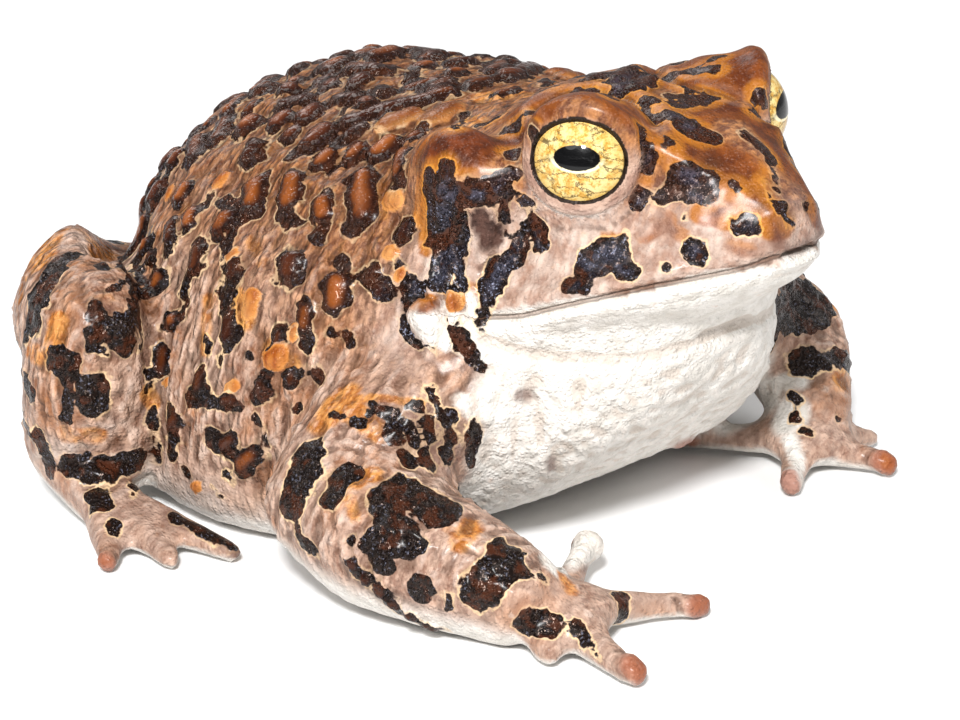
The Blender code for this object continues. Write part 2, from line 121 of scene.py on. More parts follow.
# The solids of the trunk and of each limb. The photograph shows the right side near and the left side far.
TRUNK = ("torso", "head", "lower_jaw")
NEAR_ARM, FAR_ARM, NEAR_LEG, FAR_LEG = (
    tuple(f"{part}_{side}" for part in parts)
    for parts in (("upper_arm", "forearm", "hand"), ("thigh", "shank", "foot")) for side in ("right", "left"))

# Warts, each a pill on the photograph: two ends, radius in pixels, and how brown its top is.
WARTS = (
    (352, 72, 376, 72, 13, 0.3), (286, 106, 304, 102, 11, 0.2), (336, 101, 354, 99, 9, 0.2),
    (380, 91, 388, 92, 9, 0.0), (436, 90, 448, 86, 12, 0.2), (452, 66, 466, 64, 10, 0.2),
    (262, 86, 274, 82, 9, 0.8), (218, 140, 226, 124, 10, 0.3), (194, 158, 198, 142, 10, 0.5),
    (248, 114, 256, 106, 8, 0.3), (252, 156, 256, 148, 12, 0.0), (312, 144, 324, 132, 13, 0.8),
    (350, 136, 362, 128, 8, 0.1), (254, 204, 256, 188, 13, 0.8), (290, 204, 294, 184, 13, 0.7),
    (324, 216, 324, 204, 11, 0.7), (363, 214, 364, 180, 14, 0.8), (401, 172, 404, 156, 11, 0.8),
    (291, 273, 293, 262, 13, 0.4), (337, 304, 338, 284, 12, 0.7), (370, 276, 372, 272, 7, 0.0),
    (380, 294, 382, 288, 7, 0.0), (305, 326, 307, 314, 10, 0.4), (233, 276, 234, 262, 9, 0.0),
    (230, 336, 231, 326, 11, 0.1), (196, 268, 199, 252, 9, 0.3), (188, 225, 192, 214, 9, 0.9),
    (170, 240, 172, 226, 8, 0.2), (161, 368, 163, 354, 9, 0.2), (200, 386, 202, 376, 9, 0.2),
    (244, 464, 252, 456, 10, 0.5), (224, 446, 232, 440, 8, 0.2), (174, 424, 178, 418, 8, 0.3),
    (292, 384, 293, 376, 7, 0.1), (260, 394, 262, 384, 7, 0.0), (226, 400, 236, 402, 6, 0.2),
    (278, 344, 280, 336, 7, 0.1), (520, 74, 534, 70, 11, 0.3), (556, 72, 568, 74, 10, 0.3),
    (492, 72, 502, 66, 9, 0.5), (404, 236, 408, 228, 8, 0.0), (618, 80, 626, 74, 10, 0.1),
    (640, 90, 648, 84, 8, 0.1), (574, 92, 590, 90, 8, 0.1), (500, 96, 516, 92, 8, 0.4),
    (424, 62, 432, 58, 9, 0.4), (318, 84, 328, 80, 8, 0.4),
)
# Plain orange glands: two ends and radius in pixels.
GLANDS = (
    (390, 126, 410, 118, 15), (432, 122, 452, 112, 15), (392, 202, 398, 202, 12), (392, 254, 393, 254, 10),
    (250, 312, 254, 296, 9), (274, 360, 280, 354, 11), (230, 388, 236, 386, 6), (196, 487, 199, 486, 7),
    (166, 383, 168, 380, 5), (230, 258, 236, 254, 7), (294, 334, 296, 328, 7), (220, 184, 226, 178, 9),
    (400, 277, 402, 274, 6), (170, 196, 172, 190, 7), (455, 303, 457, 298, 8),
)
# The cream glands behind the corner of the mouth, and the orange on their tops.
CORNER_GLANDS = ((425, 318, 436, 332, 18), (449, 304, 453, 318, 9), (470, 296, 474, 312, 8))
CORNER_AMBER = ((416, 304, 430, 304, 11, 0.75), (448, 296, 455, 297, 8, 0.6), (470, 286, 478, 290, 7, 0.5))
# The eardrum, and the folds of the neck round it.
EARDRUM = (482, 218, 490, 240, 14)
NECK_FOLDS = (((452, 188), (446, 230), (440, 278)), ((466, 214), (460, 246), (454, 284)),
              ((506, 196), (502, 236), (484, 270)))
CORNER_CREASES = (((442, 292), (445, 318), (438, 346)), ((461, 288), (463, 318)))
# The fold where the thigh and the shank lie against the flank.
HIP_FOLD = ((132, 262), (144, 286), (147, 320), (156, 352), (153, 392), (158, 430), (152, 462))
# The hollow between the far eye and the nostril, seen against the light.
SNOUT_HOLLOW = ((786, 140), (797, 160), (808, 180))
# The groove behind the near brow.
BROW_FOLD = ((531, 124), (540, 104), (560, 94), (590, 90), (620, 94), (642, 106), (654, 122))
# The beaded edge under the forearm.
ARM_BEADS = (
    (352, 564, 354, 566, 7), (364, 577, 367, 580, 8), (378, 589, 382, 592, 8), (392, 602, 397, 605, 7),
    (408, 613, 414, 616, 7), (426, 623, 434, 626, 6),
)

# Black blotches on the trunk, as pills on the photograph.
TRUNK_BLOTCHES = (
    (226, 202, 246, 216, 9), (233, 232, 240, 222, 8), (285, 214, 292, 222, 10), (318, 236, 324, 226, 9),
    (352, 230, 360, 222, 10), (398, 186, 402, 182, 10), (294, 154, 304, 146, 9), (340, 142, 356, 132, 11),
    (226, 239, 232, 294, 7), (202, 242, 184, 296, 7), (206, 204, 210, 198, 7), (171, 233, 167, 251, 7),
    (278, 338, 282, 334, 8), (306, 306, 308, 346, 8), (370, 275, 384, 294, 10), (404, 234, 408, 228, 10),
    (400, 266, 402, 268, 6), (412, 284, 416, 292, 9), (410, 306, 411, 310, 6), (386, 284, 388, 290, 8),
    (340, 262, 346, 268, 7), (222, 290, 230, 330, 6), (264, 386, 266, 390, 8), (292, 374, 292, 382, 8),
    (190, 398, 238, 406, 7), (268, 372, 262, 398, 6), (172, 416, 176, 430, 10), (170, 440, 173, 452, 8),
    (184, 468, 188, 474, 4), (152, 412, 156, 462, 4), (212, 438, 240, 460, 9), (262, 438, 266, 440, 6),
    (249, 353, 250, 355, 5), (221, 361, 221, 362, 4), (188, 300, 182, 316, 5), (360, 160, 366, 152, 5),
    (330, 172, 334, 168, 4), (300, 92, 318, 84, 6), (408, 76, 424, 84, 8), (470, 88, 486, 84, 9),
    (400, 104, 418, 100, 6), (412, 136, 428, 124, 5), (376, 120, 382, 110, 5), (456, 128, 464, 116, 5),
    (424, 104, 444, 99, 4), (214, 490, 222, 496, 4), (226, 474, 230, 480, 4), (300, 408, 304, 416, 5),
    (256, 418, 258, 422, 4), (316, 372, 322, 380, 5), (346, 336, 350, 344, 5), (330, 330, 334, 334, 4),
    (206, 340, 208, 350, 5), (500, 62, 514, 60, 6), (540, 64, 552, 60, 6), (586, 72, 600, 78, 8),
    (540, 92, 556, 88, 6), (600, 92, 612, 98, 6), (618, 90, 640, 76, 9), (646, 100, 656, 104, 6),
    (160, 176, 158, 188, 6), (180, 138, 186, 130, 6), (244, 92, 252, 86, 6), (268, 122, 276, 116, 5),
    (300, 118, 312, 112, 5), (403, 350, 420, 362, 8), (420, 362, 440, 373, 8), (462, 336, 470, 354, 7),
    (470, 360, 480, 368, 5), (466, 380, 474, 384, 7), (434, 340, 440, 350, 5), (453, 324, 459, 346, 5),
    (402, 318, 408, 340, 5), (418, 346, 430, 352, 4),
)
# Black blotches on the side of the head behind the eye, and down to the corner of the mouth.
NECK_BLOTCHES = (
    (446, 166, 448, 182, 7), (442, 194, 466, 196, 14), (470, 190, 496, 190, 10), (443, 212, 440, 278, 13),
    (458, 262, 462, 284, 8), (450, 232, 452, 262, 9), (470, 192, 500, 192, 13), (504, 200, 506, 222, 6),
    (460, 198, 464, 252, 7), (505, 212, 501, 242, 5), (430, 172, 432, 240, 7), (478, 126, 498, 117, 3),
    (506, 131, 518, 126, 8), (527, 116, 530, 114, 4), (534, 132, 537, 144, 4), (512, 153, 515, 157, 8),
    (512, 172, 517, 174, 7), (508, 212, 500, 240, 3), (522, 202, 530, 203, 7), (534, 222, 540, 246, 8),
    (520, 240, 510, 262, 10), (502, 266, 492, 286, 12), (487, 296, 480, 314, 8), (480, 322, 484, 330, 5),
    (486, 334, 496, 337, 3),
)
CHEEK_BLOTCHES = (
    (590, 264, 616, 258, 16), (620, 268, 629, 272, 10), (604, 247, 622, 245, 9), (568, 287, 582, 284, 9),
    (588, 280, 594, 276, 7), (694, 251, 697, 254, 12), (736, 226, 754, 230, 8), (745, 221, 752, 223, 8),
    (735, 184, 738, 187, 7), (639, 203, 643, 194, 8), (660, 198, 668, 194, 6), (684, 176, 706, 180, 13),
    (690, 194, 702, 198, 9), (674, 184, 680, 192, 7), (708, 186, 714, 192, 6), (650, 156, 646, 168, 8),
    (641, 128, 642, 141, 5.5), (667, 142, 671, 145, 6), (644, 106, 658, 120, 4), (666, 267, 668, 268, 3),
    (686, 219, 687, 219, 2.5),
)
# Marks on the crown, the far brow and the snout, which aren't mirrored.
CROWN_BLOTCHES = (
    (684, 106, 692, 100, 9), (703, 103, 712, 100, 8), (716, 102, 722, 100, 4), (670, 118, 684, 126, 10),
    (686, 130, 700, 136, 10), (704, 138, 712, 138, 6), (761, 94, 753, 116, 6), (741, 136, 764, 154, 6),
    (768, 158, 778, 188, 5), (764, 180, 773, 197, 3.5), (781, 206, 789, 224, 5), (668, 96, 676, 108, 5),
    (700, 66, 722, 56, 3), (640, 70, 660, 76, 7), (616, 74, 632, 70, 7),
)
# Black blotches on the limbs, the armpit and the hands.
LEG_BLOTCHES = (
    (88, 252, 70, 254, 11), (70, 256, 56, 266, 13), (52, 272, 46, 286, 17), (42, 288, 38, 304, 19),
    (36, 306, 34, 320, 17), (28, 326, 26, 336, 9), (102, 266, 104, 269, 6), (58, 360, 66, 366, 15),
    (64, 378, 66, 384, 6), (93, 386, 94, 402, 15), (69, 396, 66, 422, 6), (92, 304, 94, 318, 5),
    (92, 334, 94, 346, 6), (104, 322, 106, 340, 5), (118, 316, 116, 328, 5), (116, 346, 122, 352, 5),
    (130, 304, 128, 322, 4), (110, 294, 120, 284, 4), (132, 340, 130, 350, 3), (104, 352, 108, 354, 4),
    (126, 262, 120, 272, 4), (138, 242, 132, 262, 4), (146, 264, 140, 300, 4), (98, 314, 98, 338, 7),
    (112, 332, 126, 346, 8), (124, 316, 127, 336, 6), (122, 232, 134, 240, 5), (126, 276, 132, 290, 5),
    (134, 296, 138, 314, 5), (140, 270, 148, 282, 4), (70, 466, 90, 470, 11), (90, 470, 112, 470, 13),
    # The two pills from (176, 518) to (232, 546) are painted shadow on the long toe under the belly.
    (112, 468, 138, 460, 11), (26, 380, 31, 392, 9), (176, 518, 204, 530, 7), (204, 530, 232, 546, 6),
    (12, 338, 13, 374, 6), (40, 436, 50, 474, 8), (97, 494, 101, 506, 10), (112, 524, 116, 533, 7),
    (131, 488, 134, 496, 5), (22, 410, 30, 430, 6), (140, 320, 138, 350, 4), (148, 372, 148, 390, 4),
)
# Painted shade in the armpit, painted shadow on the long toe under the belly, brown between the small
# blotches of the thigh and painted shadow on the foot.
ARMPIT_PAINTED_SHADE = ((384, 414, 400, 440, 20, 0.8), (410, 420, 448, 452, 24, 0.8))
TOE_PAINTED_SHADOW = ((172, 518, 200, 528, 9, 1.0), (200, 528, 238, 550, 9, 1.0))
LEG_BROWN_AND_FOOT_SHADOW = (
    (98, 312, 124, 342, 17, 0.9), (116, 262, 138, 306, 11, 0.6), (138, 330, 146, 420, 6, 0.5),
    # The last row is painted shadow on the foot.
    (108, 496, 160, 516, 15, 0.35),
)
ARM_BLOTCHES = (
    (308, 456, 292, 500, 18), (298, 484, 308, 474, 16), (286, 504, 290, 510, 9), (350, 472, 332, 496, 12),
    (402, 490, 440, 510, 20), (384, 498, 388, 512, 15), (392, 516, 402, 530, 15), (376, 542, 402, 546, 15),
    (374, 558, 386, 566, 9), (410, 540, 418, 546, 8), (419, 590, 421, 593, 14), (446, 596, 449, 604, 5),
    (506, 558, 480, 590, 19), (476, 600, 484, 602, 8), (502, 546, 520, 566, 10), (350, 539, 351, 540, 5),
    (354, 569, 357, 573, 6), (366, 578, 369, 582, 6), (378, 587, 386, 592, 7), (388, 601, 403, 613, 5),
    (420, 622, 444, 628, 5), (298, 530, 314, 552, 6), (334, 416, 346, 418, 5), (350, 422, 360, 424, 6),
)
ARMPIT_BLOTCHES = (
    (372, 410, 392, 414, 8), (392, 426, 396, 440, 8), (408, 426, 414, 440, 7), (426, 420, 430, 436, 7),
    (442, 414, 450, 440, 6), (402, 454, 410, 460, 7), (424, 456, 430, 464, 7), (442, 450, 448, 458, 6),
    (432, 390, 440, 410, 5), (450, 414, 456, 418, 5), (474, 428, 474, 450, 8), (470, 456, 472, 464, 5),
    (410, 405, 420, 410, 5),
)
HAND_BLOTCHES = (
    (528, 622, 548, 626, 13), (580, 628, 584, 640, 8), (592, 648, 598, 655, 3),
    (620, 600, 620, 618, 10), (540, 577, 544, 579, 4), (518, 568, 524, 572, 6),
)
# The first pills are drawn wider than the far arm's blotch: partly black blotch, partly painted shadow under
# the chin.
FAR_ARM_BLOTCHES_AND_SHADOW = (
    (790, 284, 816, 298, 24), (778, 312, 806, 318, 17), (800, 362, 848, 364, 13), (794, 397, 797, 399, 5),
    (793, 416, 794, 420, 4), (836, 417, 838, 419, 4), (806, 431, 810, 432, 4), (822, 326, 830, 318, 5),
)
FAINT_SPOTS = ((520, 396, 527, 397, 8), (550, 460, 552, 469, 6))
# The grey-brown dusk on the tip of the snout, with its smudges.
SNOUT_DUSK = ((792, 178, 806, 200, 12, 0.6), (806, 200, 814, 226, 13, 0.6), (780, 240, 800, 240, 9, 0.5))
SNOUT_SMUDGES = (
    (801, 206, 806, 214, 4), (812, 222, 816, 232, 5), (800, 238, 803, 242, 4), (781, 245, 784, 249, 4),
    (796, 186, 800, 194, 4),
)

# Orange skin: two ends, radius in pixels and strength.
AMBER_TRUNK = (
    (54, 340, 58, 324, 15, 1.0), (20, 300, 30, 262, 12, 1.0), (42, 262, 58, 242, 18, 1.0),
    (60, 238, 96, 230, 22, 1.0), (96, 236, 104, 250, 12, 0.8), (30, 350, 40, 356, 12, 0.7),
    (66, 434, 96, 436, 14, 0.7), (240, 300, 246, 320, 14, 0.8), (210, 300, 204, 350, 10, 0.6),
    (270, 350, 290, 364, 14, 0.7), (146, 392, 152, 404, 9, 0.8), (382, 186, 384, 214, 8, 0.6),
    (250, 240, 262, 262, 9, 0.5), (324, 416, 344, 400, 24, 1.0), (352, 412, 378, 430, 15, 1.0),
    (354, 482, 372, 474, 13, 0.9), (460, 542, 472, 526, 14, 0.9), (370, 398, 420, 404, 6, 0.8),
    (426, 306, 430, 300, 8, 1.0), (562, 576, 572, 590, 10, 0.7), (180, 214, 186, 206, 9, 0.7),
    (344, 150, 356, 146, 6, 0.6), (350, 500, 356, 520, 8, 0.6), (440, 520, 450, 530, 8, 0.6),
    (100, 300, 110, 300, 8, 0.5),
)
AMBER_HEAD = (
    (545, 104, 625, 104, 17, 1.0), (630, 114, 652, 150, 13, 0.9), (700, 72, 748, 70, 24, 1.0),
    (660, 112, 730, 112, 22, 1.0), (690, 150, 745, 176, 28, 1.0), (750, 196, 776, 222, 17, 1.0),
    (634, 84, 690, 82, 17, 0.9), (432, 160, 470, 142, 27, 1.0), (480, 142, 520, 130, 20, 1.0),
    (470, 120, 520, 112, 10, 0.9), (424, 170, 421, 215, 11, 1.0), (421, 215, 426, 250, 7, 0.8),
    (644, 234, 668, 222, 10, 0.5), (606, 237, 622, 240, 6, 0.6), (700, 214, 728, 220, 10, 0.8),
    (732, 246, 750, 250, 8, 0.45), (516, 176, 520, 200, 6, 0.5), (540, 80, 600, 78, 12, 0.8),
    (676, 232, 684, 236, 7, 0.5), (640, 176, 648, 180, 7, 0.6), (528, 104, 556, 88, 10, 1.0),
    (556, 88, 620, 86, 10, 1.0), (620, 88, 656, 106, 10, 1.0),
)
# The deep brown of the gland behind the eye, and of the rear of the snout's top.
DEEP_BROWN = (
    (432, 158, 470, 142, 24, 1.0), (480, 140, 520, 128, 16, 1.0), (556, 94, 606, 92, 8, 0.8),
    (740, 62, 756, 70, 12, 0.6), (390, 126, 410, 118, 16, 0.7), (432, 122, 452, 112, 16, 0.7),
    (704, 152, 745, 176, 24, 0.4), (752, 196, 776, 222, 14, 0.4), (676, 116, 730, 108, 14, 0.3),
)
# The brown top and back of the thigh.
THIGH_BROWN = ((52, 243, 92, 231, 15, 0.8), (58, 234, 86, 219, 14, 0.8), (86, 219, 120, 209, 13, 0.8),
               (52, 243, 60, 228, 10, 0.8), (20, 306, 28, 268, 9, 0.6), (98, 238, 112, 250, 9, 0.5))
# The pale palm of the far hand.
FAR_PALM = (
    (690, 432, 726, 410, 13), (726, 408, 768, 392, 20), (768, 386, 800, 380, 10), (790, 440, 800, 466, 9),
)
# Fingertips, rusty orange.
TIPS = ((696, 606, 706, 608, 11), (634, 664, 642, 674, 12), (882, 460, 888, 466, 10), (788, 478, 790, 486, 9),
        (680, 440, 690, 439, 9), (104, 560, 107, 566, 8))
# The cream of throat, chest, lips and inner hand.
CREAM = (
    (505, 330, 640, 309, 12), (640, 309, 790, 268, 10), (540, 360, 740, 320, 30), (520, 400, 700, 390, 46),
    (500, 455, 600, 440, 34), (490, 480, 520, 490, 26), (462, 400, 500, 480, 8), (446, 330, 470, 318, 8),
    (700, 425, 790, 415, 20), (560, 560, 592, 546, 16), (640, 400, 690, 420, 20), (487, 318, 580, 303, 6),
    (580, 303, 709, 277, 5), (709, 277, 786, 258, 4),
)
# The pale, swollen thumb.
THUMB = ((556, 562, 588, 546, 15), (588, 546, 592, 540, 12))

# The lines of the mouth and of the folds.
MOUTH_LINE = ((487, 318), (505, 318), (521, 317), (550, 310), (580, 303), (616, 295), (653, 287), (682, 282),
              (709, 277), (732, 272), (751, 267), (764, 261), (776, 256), (792, 252), (808, 247))
THROAT_FOLD = ((486, 340), (520, 352), (560, 358), (600, 360), (635, 359), (670, 351), (700, 340), (730, 328),
               (748, 320))
LID_CREASE = ((516, 196), (530, 214), (552, 226), (580, 231), (606, 228), (626, 216), (640, 198))
ARM_CREASES = (
    ((674, 597), (678, 604), (680, 612)), ((618, 650), (628, 650), (636, 644)),
    ((330, 440), (352, 436), (374, 444), (388, 452)), ((322, 452), (340, 446), (360, 450)),
    ((330, 508), (336, 530), (338, 552)), ((470, 552), (486, 560), (496, 574)),
)
# The swelling of the knee and the groove between the thigh and the rump, in millimetres, mirrored.
KNEE_RISE = 0.85 * MM
KNEE_REACH = 3.0 * MM
GROOVE_DEPTH = 2.8 * MM
GROOVE_WIDTH = 1.8 * MM
KNEE_SWELL = (-27.3, 21.8, 19.0)
LEG_HOLLOW = ((-21.5, 22.6, 19.4), (-26.3, 18.4, 19.3), (-29.7, 15.4, 18.7), (-32.6, 12.2, 17.5))
KNEE_FOLD = ((86, 484), (110, 486), (134, 484), (152, 478))
NOSTRIL = (787, 214)

# Blotches laid after the eardrum: rows, whether they are mirrored, and the solids they lie on.
LATER_BLOTCHES = (
    (CHEEK_BLOTCHES, True, TRUNK), (CROWN_BLOTCHES, False, TRUNK), (LEG_BLOTCHES, True, NEAR_LEG),
    (ARM_BLOTCHES, False, NEAR_ARM), (ARMPIT_BLOTCHES, True), (HAND_BLOTCHES, False, NEAR_ARM),
    (FAR_ARM_BLOTCHES_AND_SHADOW, False, FAR_ARM),
)
# Soft tints: field, rows, whether mirrored, the radii that they fade between, and the solids.
TINTS = (
    ("faint", SNOUT_DUSK, True, 0.5, 1.5, ("head",)), ("faint", SNOUT_SMUDGES, True, 0.5, 1.4, ("head",)),
    ("amber", AMBER_TRUNK, True, 0.55, 1.25), ("amber", AMBER_HEAD, True, 0.8, 1.5, TRUNK),
    ("tips", TIPS, False, 0.7, 1.5), ("cream", CREAM, True, 0.8, 1.3),
    ("cream", CORNER_GLANDS, True, 0.7, 1.1, TRUNK), ("amber", CORNER_AMBER, True, 0.4, 1.5, TRUNK),
    ("cream", THUMB, False, 0.9, 1.3, NEAR_ARM), ("cream", FAR_PALM, False, 0.7, 1.2, FAR_ARM),
    ("deep", DEEP_BROWN, True, 0.5, 1.4, TRUNK), ("deep", THIGH_BROWN, True, 0.5, 1.4, NEAR_LEG),
    ("faint", FAINT_SPOTS, True, 0.5, 1.2), ("faint", TOE_PAINTED_SHADOW, True, 0.8, 1.3, NEAR_LEG),
    ("faint", LEG_BROWN_AND_FOOT_SHADOW, True, 0.7, 1.4, NEAR_LEG), ("faint", ARMPIT_PAINTED_SHADE, True, 0.5, 1.2),
)
# Folds: line, depth and width in millimetres, whether mirrored, and the solids.
CREASES = (
    (THROAT_FOLD, 0.30, 0.55, True, TRUNK), (LID_CREASE, 0.12, 0.22, True, TRUNK),
    (BROW_FOLD, 0.70, 0.60, True, TRUNK), (SNOUT_HOLLOW, 0.60, 2.0, True, ("head",)),
    *((fold, 0.50, 0.35, True, TRUNK) for fold in CORNER_CREASES),
    *((fold, 0.40, 0.38, True, TRUNK) for fold in NECK_FOLDS), (HIP_FOLD, 0.45, 0.9, True, None),
    (KNEE_FOLD, 0.45, 0.5, True, None), *((fold, 0.16, 0.25, False, None) for fold in ARM_CREASES),
)
# What the skin's material reads at each point: how deep in a blotch and how far from the mouth's line and the
# lid's edge it is in millimetres, and shares of orange, cream, brown and so on.
SKIN_FIELDS = ("mark", "mouth", "lid", "amber", "cream", "brown", "wart", "gland", "tips", "faint", "drum",
               "ridge", "deep", "head", "calm")


def linear(hex_colour):
    """An sRGB hex colour as linear RGBA."""
    channels = [int(hex_colour[i:i + 2], 16) / 255 for i in (1, 3, 5)]
    return (*[c / 12.92 if c <= 0.04045 else ((c + 0.055) / 1.055) ** 2.4 for c in channels], 1.0)


def pixel_ray(x, y):
    """Direction from the camera through a pixel of the photograph."""
    across = (x - PHOTO_WIDTH / 2) / CAMERA_FOCUS_PIXELS
    down = (y - PHOTO_HEIGHT / 2) / CAMERA_FOCUS_PIXELS
    return (CAMERA_RIGHT * across - CAMERA_UP * down - CAMERA_BACK).normalized()


def segment_offset(points, first, last):
    """The way to each point from the nearest place of the straight line between two ends."""
    start = np.array(first)
    along = np.array(last) - start
    share = np.clip((points - start) @ along / max(float(along @ along), 1e-12), 0.0, 1.0)
    return points - start - share[:, None] * along


def segment_distance(points, first, last):
    return np.linalg.norm(segment_offset(points, first, last), axis=1)


def polyline_distance(points, spots):
    return np.min([segment_distance(points, *ends) for ends in zip(spots, spots[1:])], axis=0)


def signed_distance(points, spots):
    """Distance from a line of places, below it counted as negative."""
    nearest = np.full(len(points), 1.0)
    for ends in zip(spots, spots[1:]):
        out = segment_offset(points, *ends)
        away = np.linalg.norm(out, axis=1) * np.where(out[:, 2] < 0, -1.0, 1.0)
        nearest = np.where(np.abs(away) < np.abs(nearest), away, nearest)
    return nearest


def smooth_step(values, low, high):
    """0 below low, 1 above high and a smooth rise between them."""
    t = np.clip((values - low) / (high - low), 0.0, 1.0)
    return t * t * (3 - 2 * t)


def read_vectors(collection, name):
    """One vector of each item of a mesh's collection, as rows."""
    flat = np.empty(len(collection) * 3, np.float32)
    collection.foreach_get(name, flat)
    return flat.reshape(-1, 3).astype(np.float64)


def set_coordinates(mesh, points):
    mesh.vertices.foreach_set("co", points.astype(np.float32).ravel())
    mesh.update()


def new_object(name, data):
    obj = bpy.data.objects.new(name, data)
    bpy.context.scene.collection.objects.link(obj)
    return obj


def to_mesh(bm, name):
    """A new mesh of a bmesh, which is freed."""
    mesh = bpy.data.meshes.new(name)
    bm.to_mesh(mesh)
    bm.free()
    return mesh


def mesh_edges(mesh):
    edges = np.empty(len(mesh.edges) * 2, np.int32)
    mesh.edges.foreach_get("vertices", edges)
    return edges.reshape(-1, 2)


def neighbour_mean(values, edges, count):
    """Mean over each point's neighbours, for one column of values."""
    total = (np.bincount(edges[:, 0], values[edges[:, 1]], len(values))
             + np.bincount(edges[:, 1], values[edges[:, 0]], len(values)))
    return total / count


def relax(points, edges, rounds, weight, firm=False):
    """Laplacian smoothing by weight; a firm one swells back after each round, so toes keep their girth."""
    count = np.bincount(edges.ravel(), minlength=len(points)).astype(np.float64)
    for _ in range(rounds):
        for factor in ((0.5, -0.52) if firm else (0.5,)):
            mean = np.stack([neighbour_mean(points[:, axis], edges, count) for axis in range(3)], axis=1)
            points = points + factor * weight[:, None] * (mean - points)
    return points


def eye_axes(side):
    """The way an eye looks, and its pupil's long and upright directions."""
    look = Vector((0.52, 0.83 * side, 0.20)).normalized()
    up = (Vector((0.0, 0.0, 1.0)) - look * look.z).normalized()
    along = up.cross(look)
    return look, along, up


# Flesh of the folded shank that bulges against the flank: centre and radii in millimetres, mirrored.
SHANK_PAD = ((-16.0, 26.5, 6.3), (3.2, 3.6, 5.0))
# How much wider a blotch is laid than its pill.
BLOTCH_SPREAD = 1.08
# How far the solids swell to close the thin gaps between them before they are joined.
SEAM_SWELL = 0.20 * MM
EYE_SWELL = 0.22 * MM
# Rise of the mouth's line towards the snout.
MOUTH_SLOPE = 0.323
# Where the search along a line of sight that misses the skin starts, and its steps.
SIGHT_START = 0.17
SIGHT_STEP = 0.002
SIGHT_STEPS = 60
# A distance past every other, the number of points that a scatter tries, and the seed of all its draws.
FAR_AWAY = 9.0
MOST_TRIES = 9000
SEED = 5


def skin_base(voxel):
    """The flesh and eyes as one closed mesh, with the thin cuts between the nodes closed."""
    whole = bmesh.new()
    for node in FLESH_NODES + EYE_NODES:
        piece = bmesh.new()
        piece.from_mesh(frame["nodes"][node].data)
        bmesh.ops.remove_doubles(piece, verts=piece.verts, dist=1e-6)
        piece.normal_update()
        swell = SEAM_SWELL if node in FLESH_NODES else EYE_SWELL
        for vert, normal in [(v, v.normal.copy()) for v in piece.verts]:
            vert.co += normal * swell
        mesh = to_mesh(piece, "flesh_piece")
        whole.from_mesh(mesh)
        bpy.data.meshes.remove(mesh)
    for side in (-1.0, 1.0):
        (x, y, z), radii = SHANK_PAD
        shape = Matrix.Diagonal(Vector(radii) * MM).to_4x4()
        bmesh.ops.create_icosphere(whole, subdivisions=3, radius=1.0,
                                   matrix=Matrix.Translation(Vector((x, side * y, z)) * MM) @ shape)
    obj = new_object("toad_skin", to_mesh(whole, "toad_skin"))
    join = obj.modifiers.new("join", "REMESH")
    join.mode = "VOXEL"
    join.voxel_size = voxel
    made = bpy.data.meshes.new_from_object(obj.evaluated_get(bpy.context.evaluated_depsgraph_get()))
    obj.modifiers.clear()
    obj.data = made
    keep_outer_surface(obj)
    refine_round_eyes(obj)
    return obj


def refine_round_eyes(obj):
    """Halves the mesh's edges round the eyes, so that the lids come out smooth."""
    bm = bmesh.new()
    bm.from_mesh(obj.data)
    reach = EYE_RADIUS + 1.6 * MM
    near = {v for v in bm.verts if min((v.co - NEAR_EYE).length, (v.co - FAR_EYE).length) < reach}
    edges = [e for e in bm.edges if e.verts[0] in near and e.verts[1] in near]
    bmesh.ops.subdivide_edges(bm, edges=edges, cuts=1, use_grid_fill=True)
    bmesh.ops.triangulate(bm, faces=[f for f in bm.faces if len(f.verts) > 4])
    bm.to_mesh(obj.data)
    bm.free()


def soften_snout(points, edges):
    """Rounds the tip of the snout and the step between the lips."""
    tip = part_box("head")[1][0]
    front = smooth_step(points[:, 0], tip - 8 * MM, tip - 3 * MM)
    lips = np.exp(-((points[:, 2] - MOUTH_SLOPE * points[:, 0] - 16.0 * MM) / (2.0 * MM)) ** 2)
    lips *= smooth_step(points[:, 0], 9 * MM, 12 * MM)
    points = points.copy()
    points[:, 0] -= 0.45 * MM * smooth_step(points[:, 0], tip - 6 * MM, tip - 1 * MM)
    front *= smooth_step(points[:, 2], 14 * MM, 18 * MM)
    return relax(points, edges, 26, np.maximum(front, 0.8 * lips))


def keep_outer_surface(obj):
    """Drops the closed bubbles that the remesh leaves inside, such as those along the thin cuts."""
    bm = bmesh.new()
    bm.from_mesh(obj.data)
    left = set(bm.faces)
    islands = []
    while left:
        stack = [left.pop()]
        island = []
        while stack:
            face = stack.pop()
            island.append(face)
            for edge in face.edges:
                for other in edge.link_faces:
                    if other in left:
                        left.remove(other)
                        stack.append(other)
        islands.append(island)
    islands.sort(key=len, reverse=True)
    for island in islands[1:]:
        bmesh.ops.delete(bm, geom=island, context="FACES")
    bmesh.ops.delete(bm, geom=[v for v in bm.verts if not v.link_faces], context="VERTS")
    bm.to_mesh(obj.data)
    bm.free()


def nearest_nodes(points):
    """For each point, the place in FLESH_NODES of the solid nearest to it."""
    verts, faces, owner = [], [], []
    for index, node in enumerate(FLESH_NODES):
        mesh = frame["nodes"][node].data
        start = len(verts)
        verts += [v.co.copy() for v in mesh.vertices]
        faces += [[start + i for i in p.vertices] for p in mesh.polygons]
        owner += [index] * len(mesh.polygons)
    tree = BVHTree.FromPolygons(verts, faces)
    return np.array([owner[tree.find_nearest(Vector(p))[2]] for p in points])


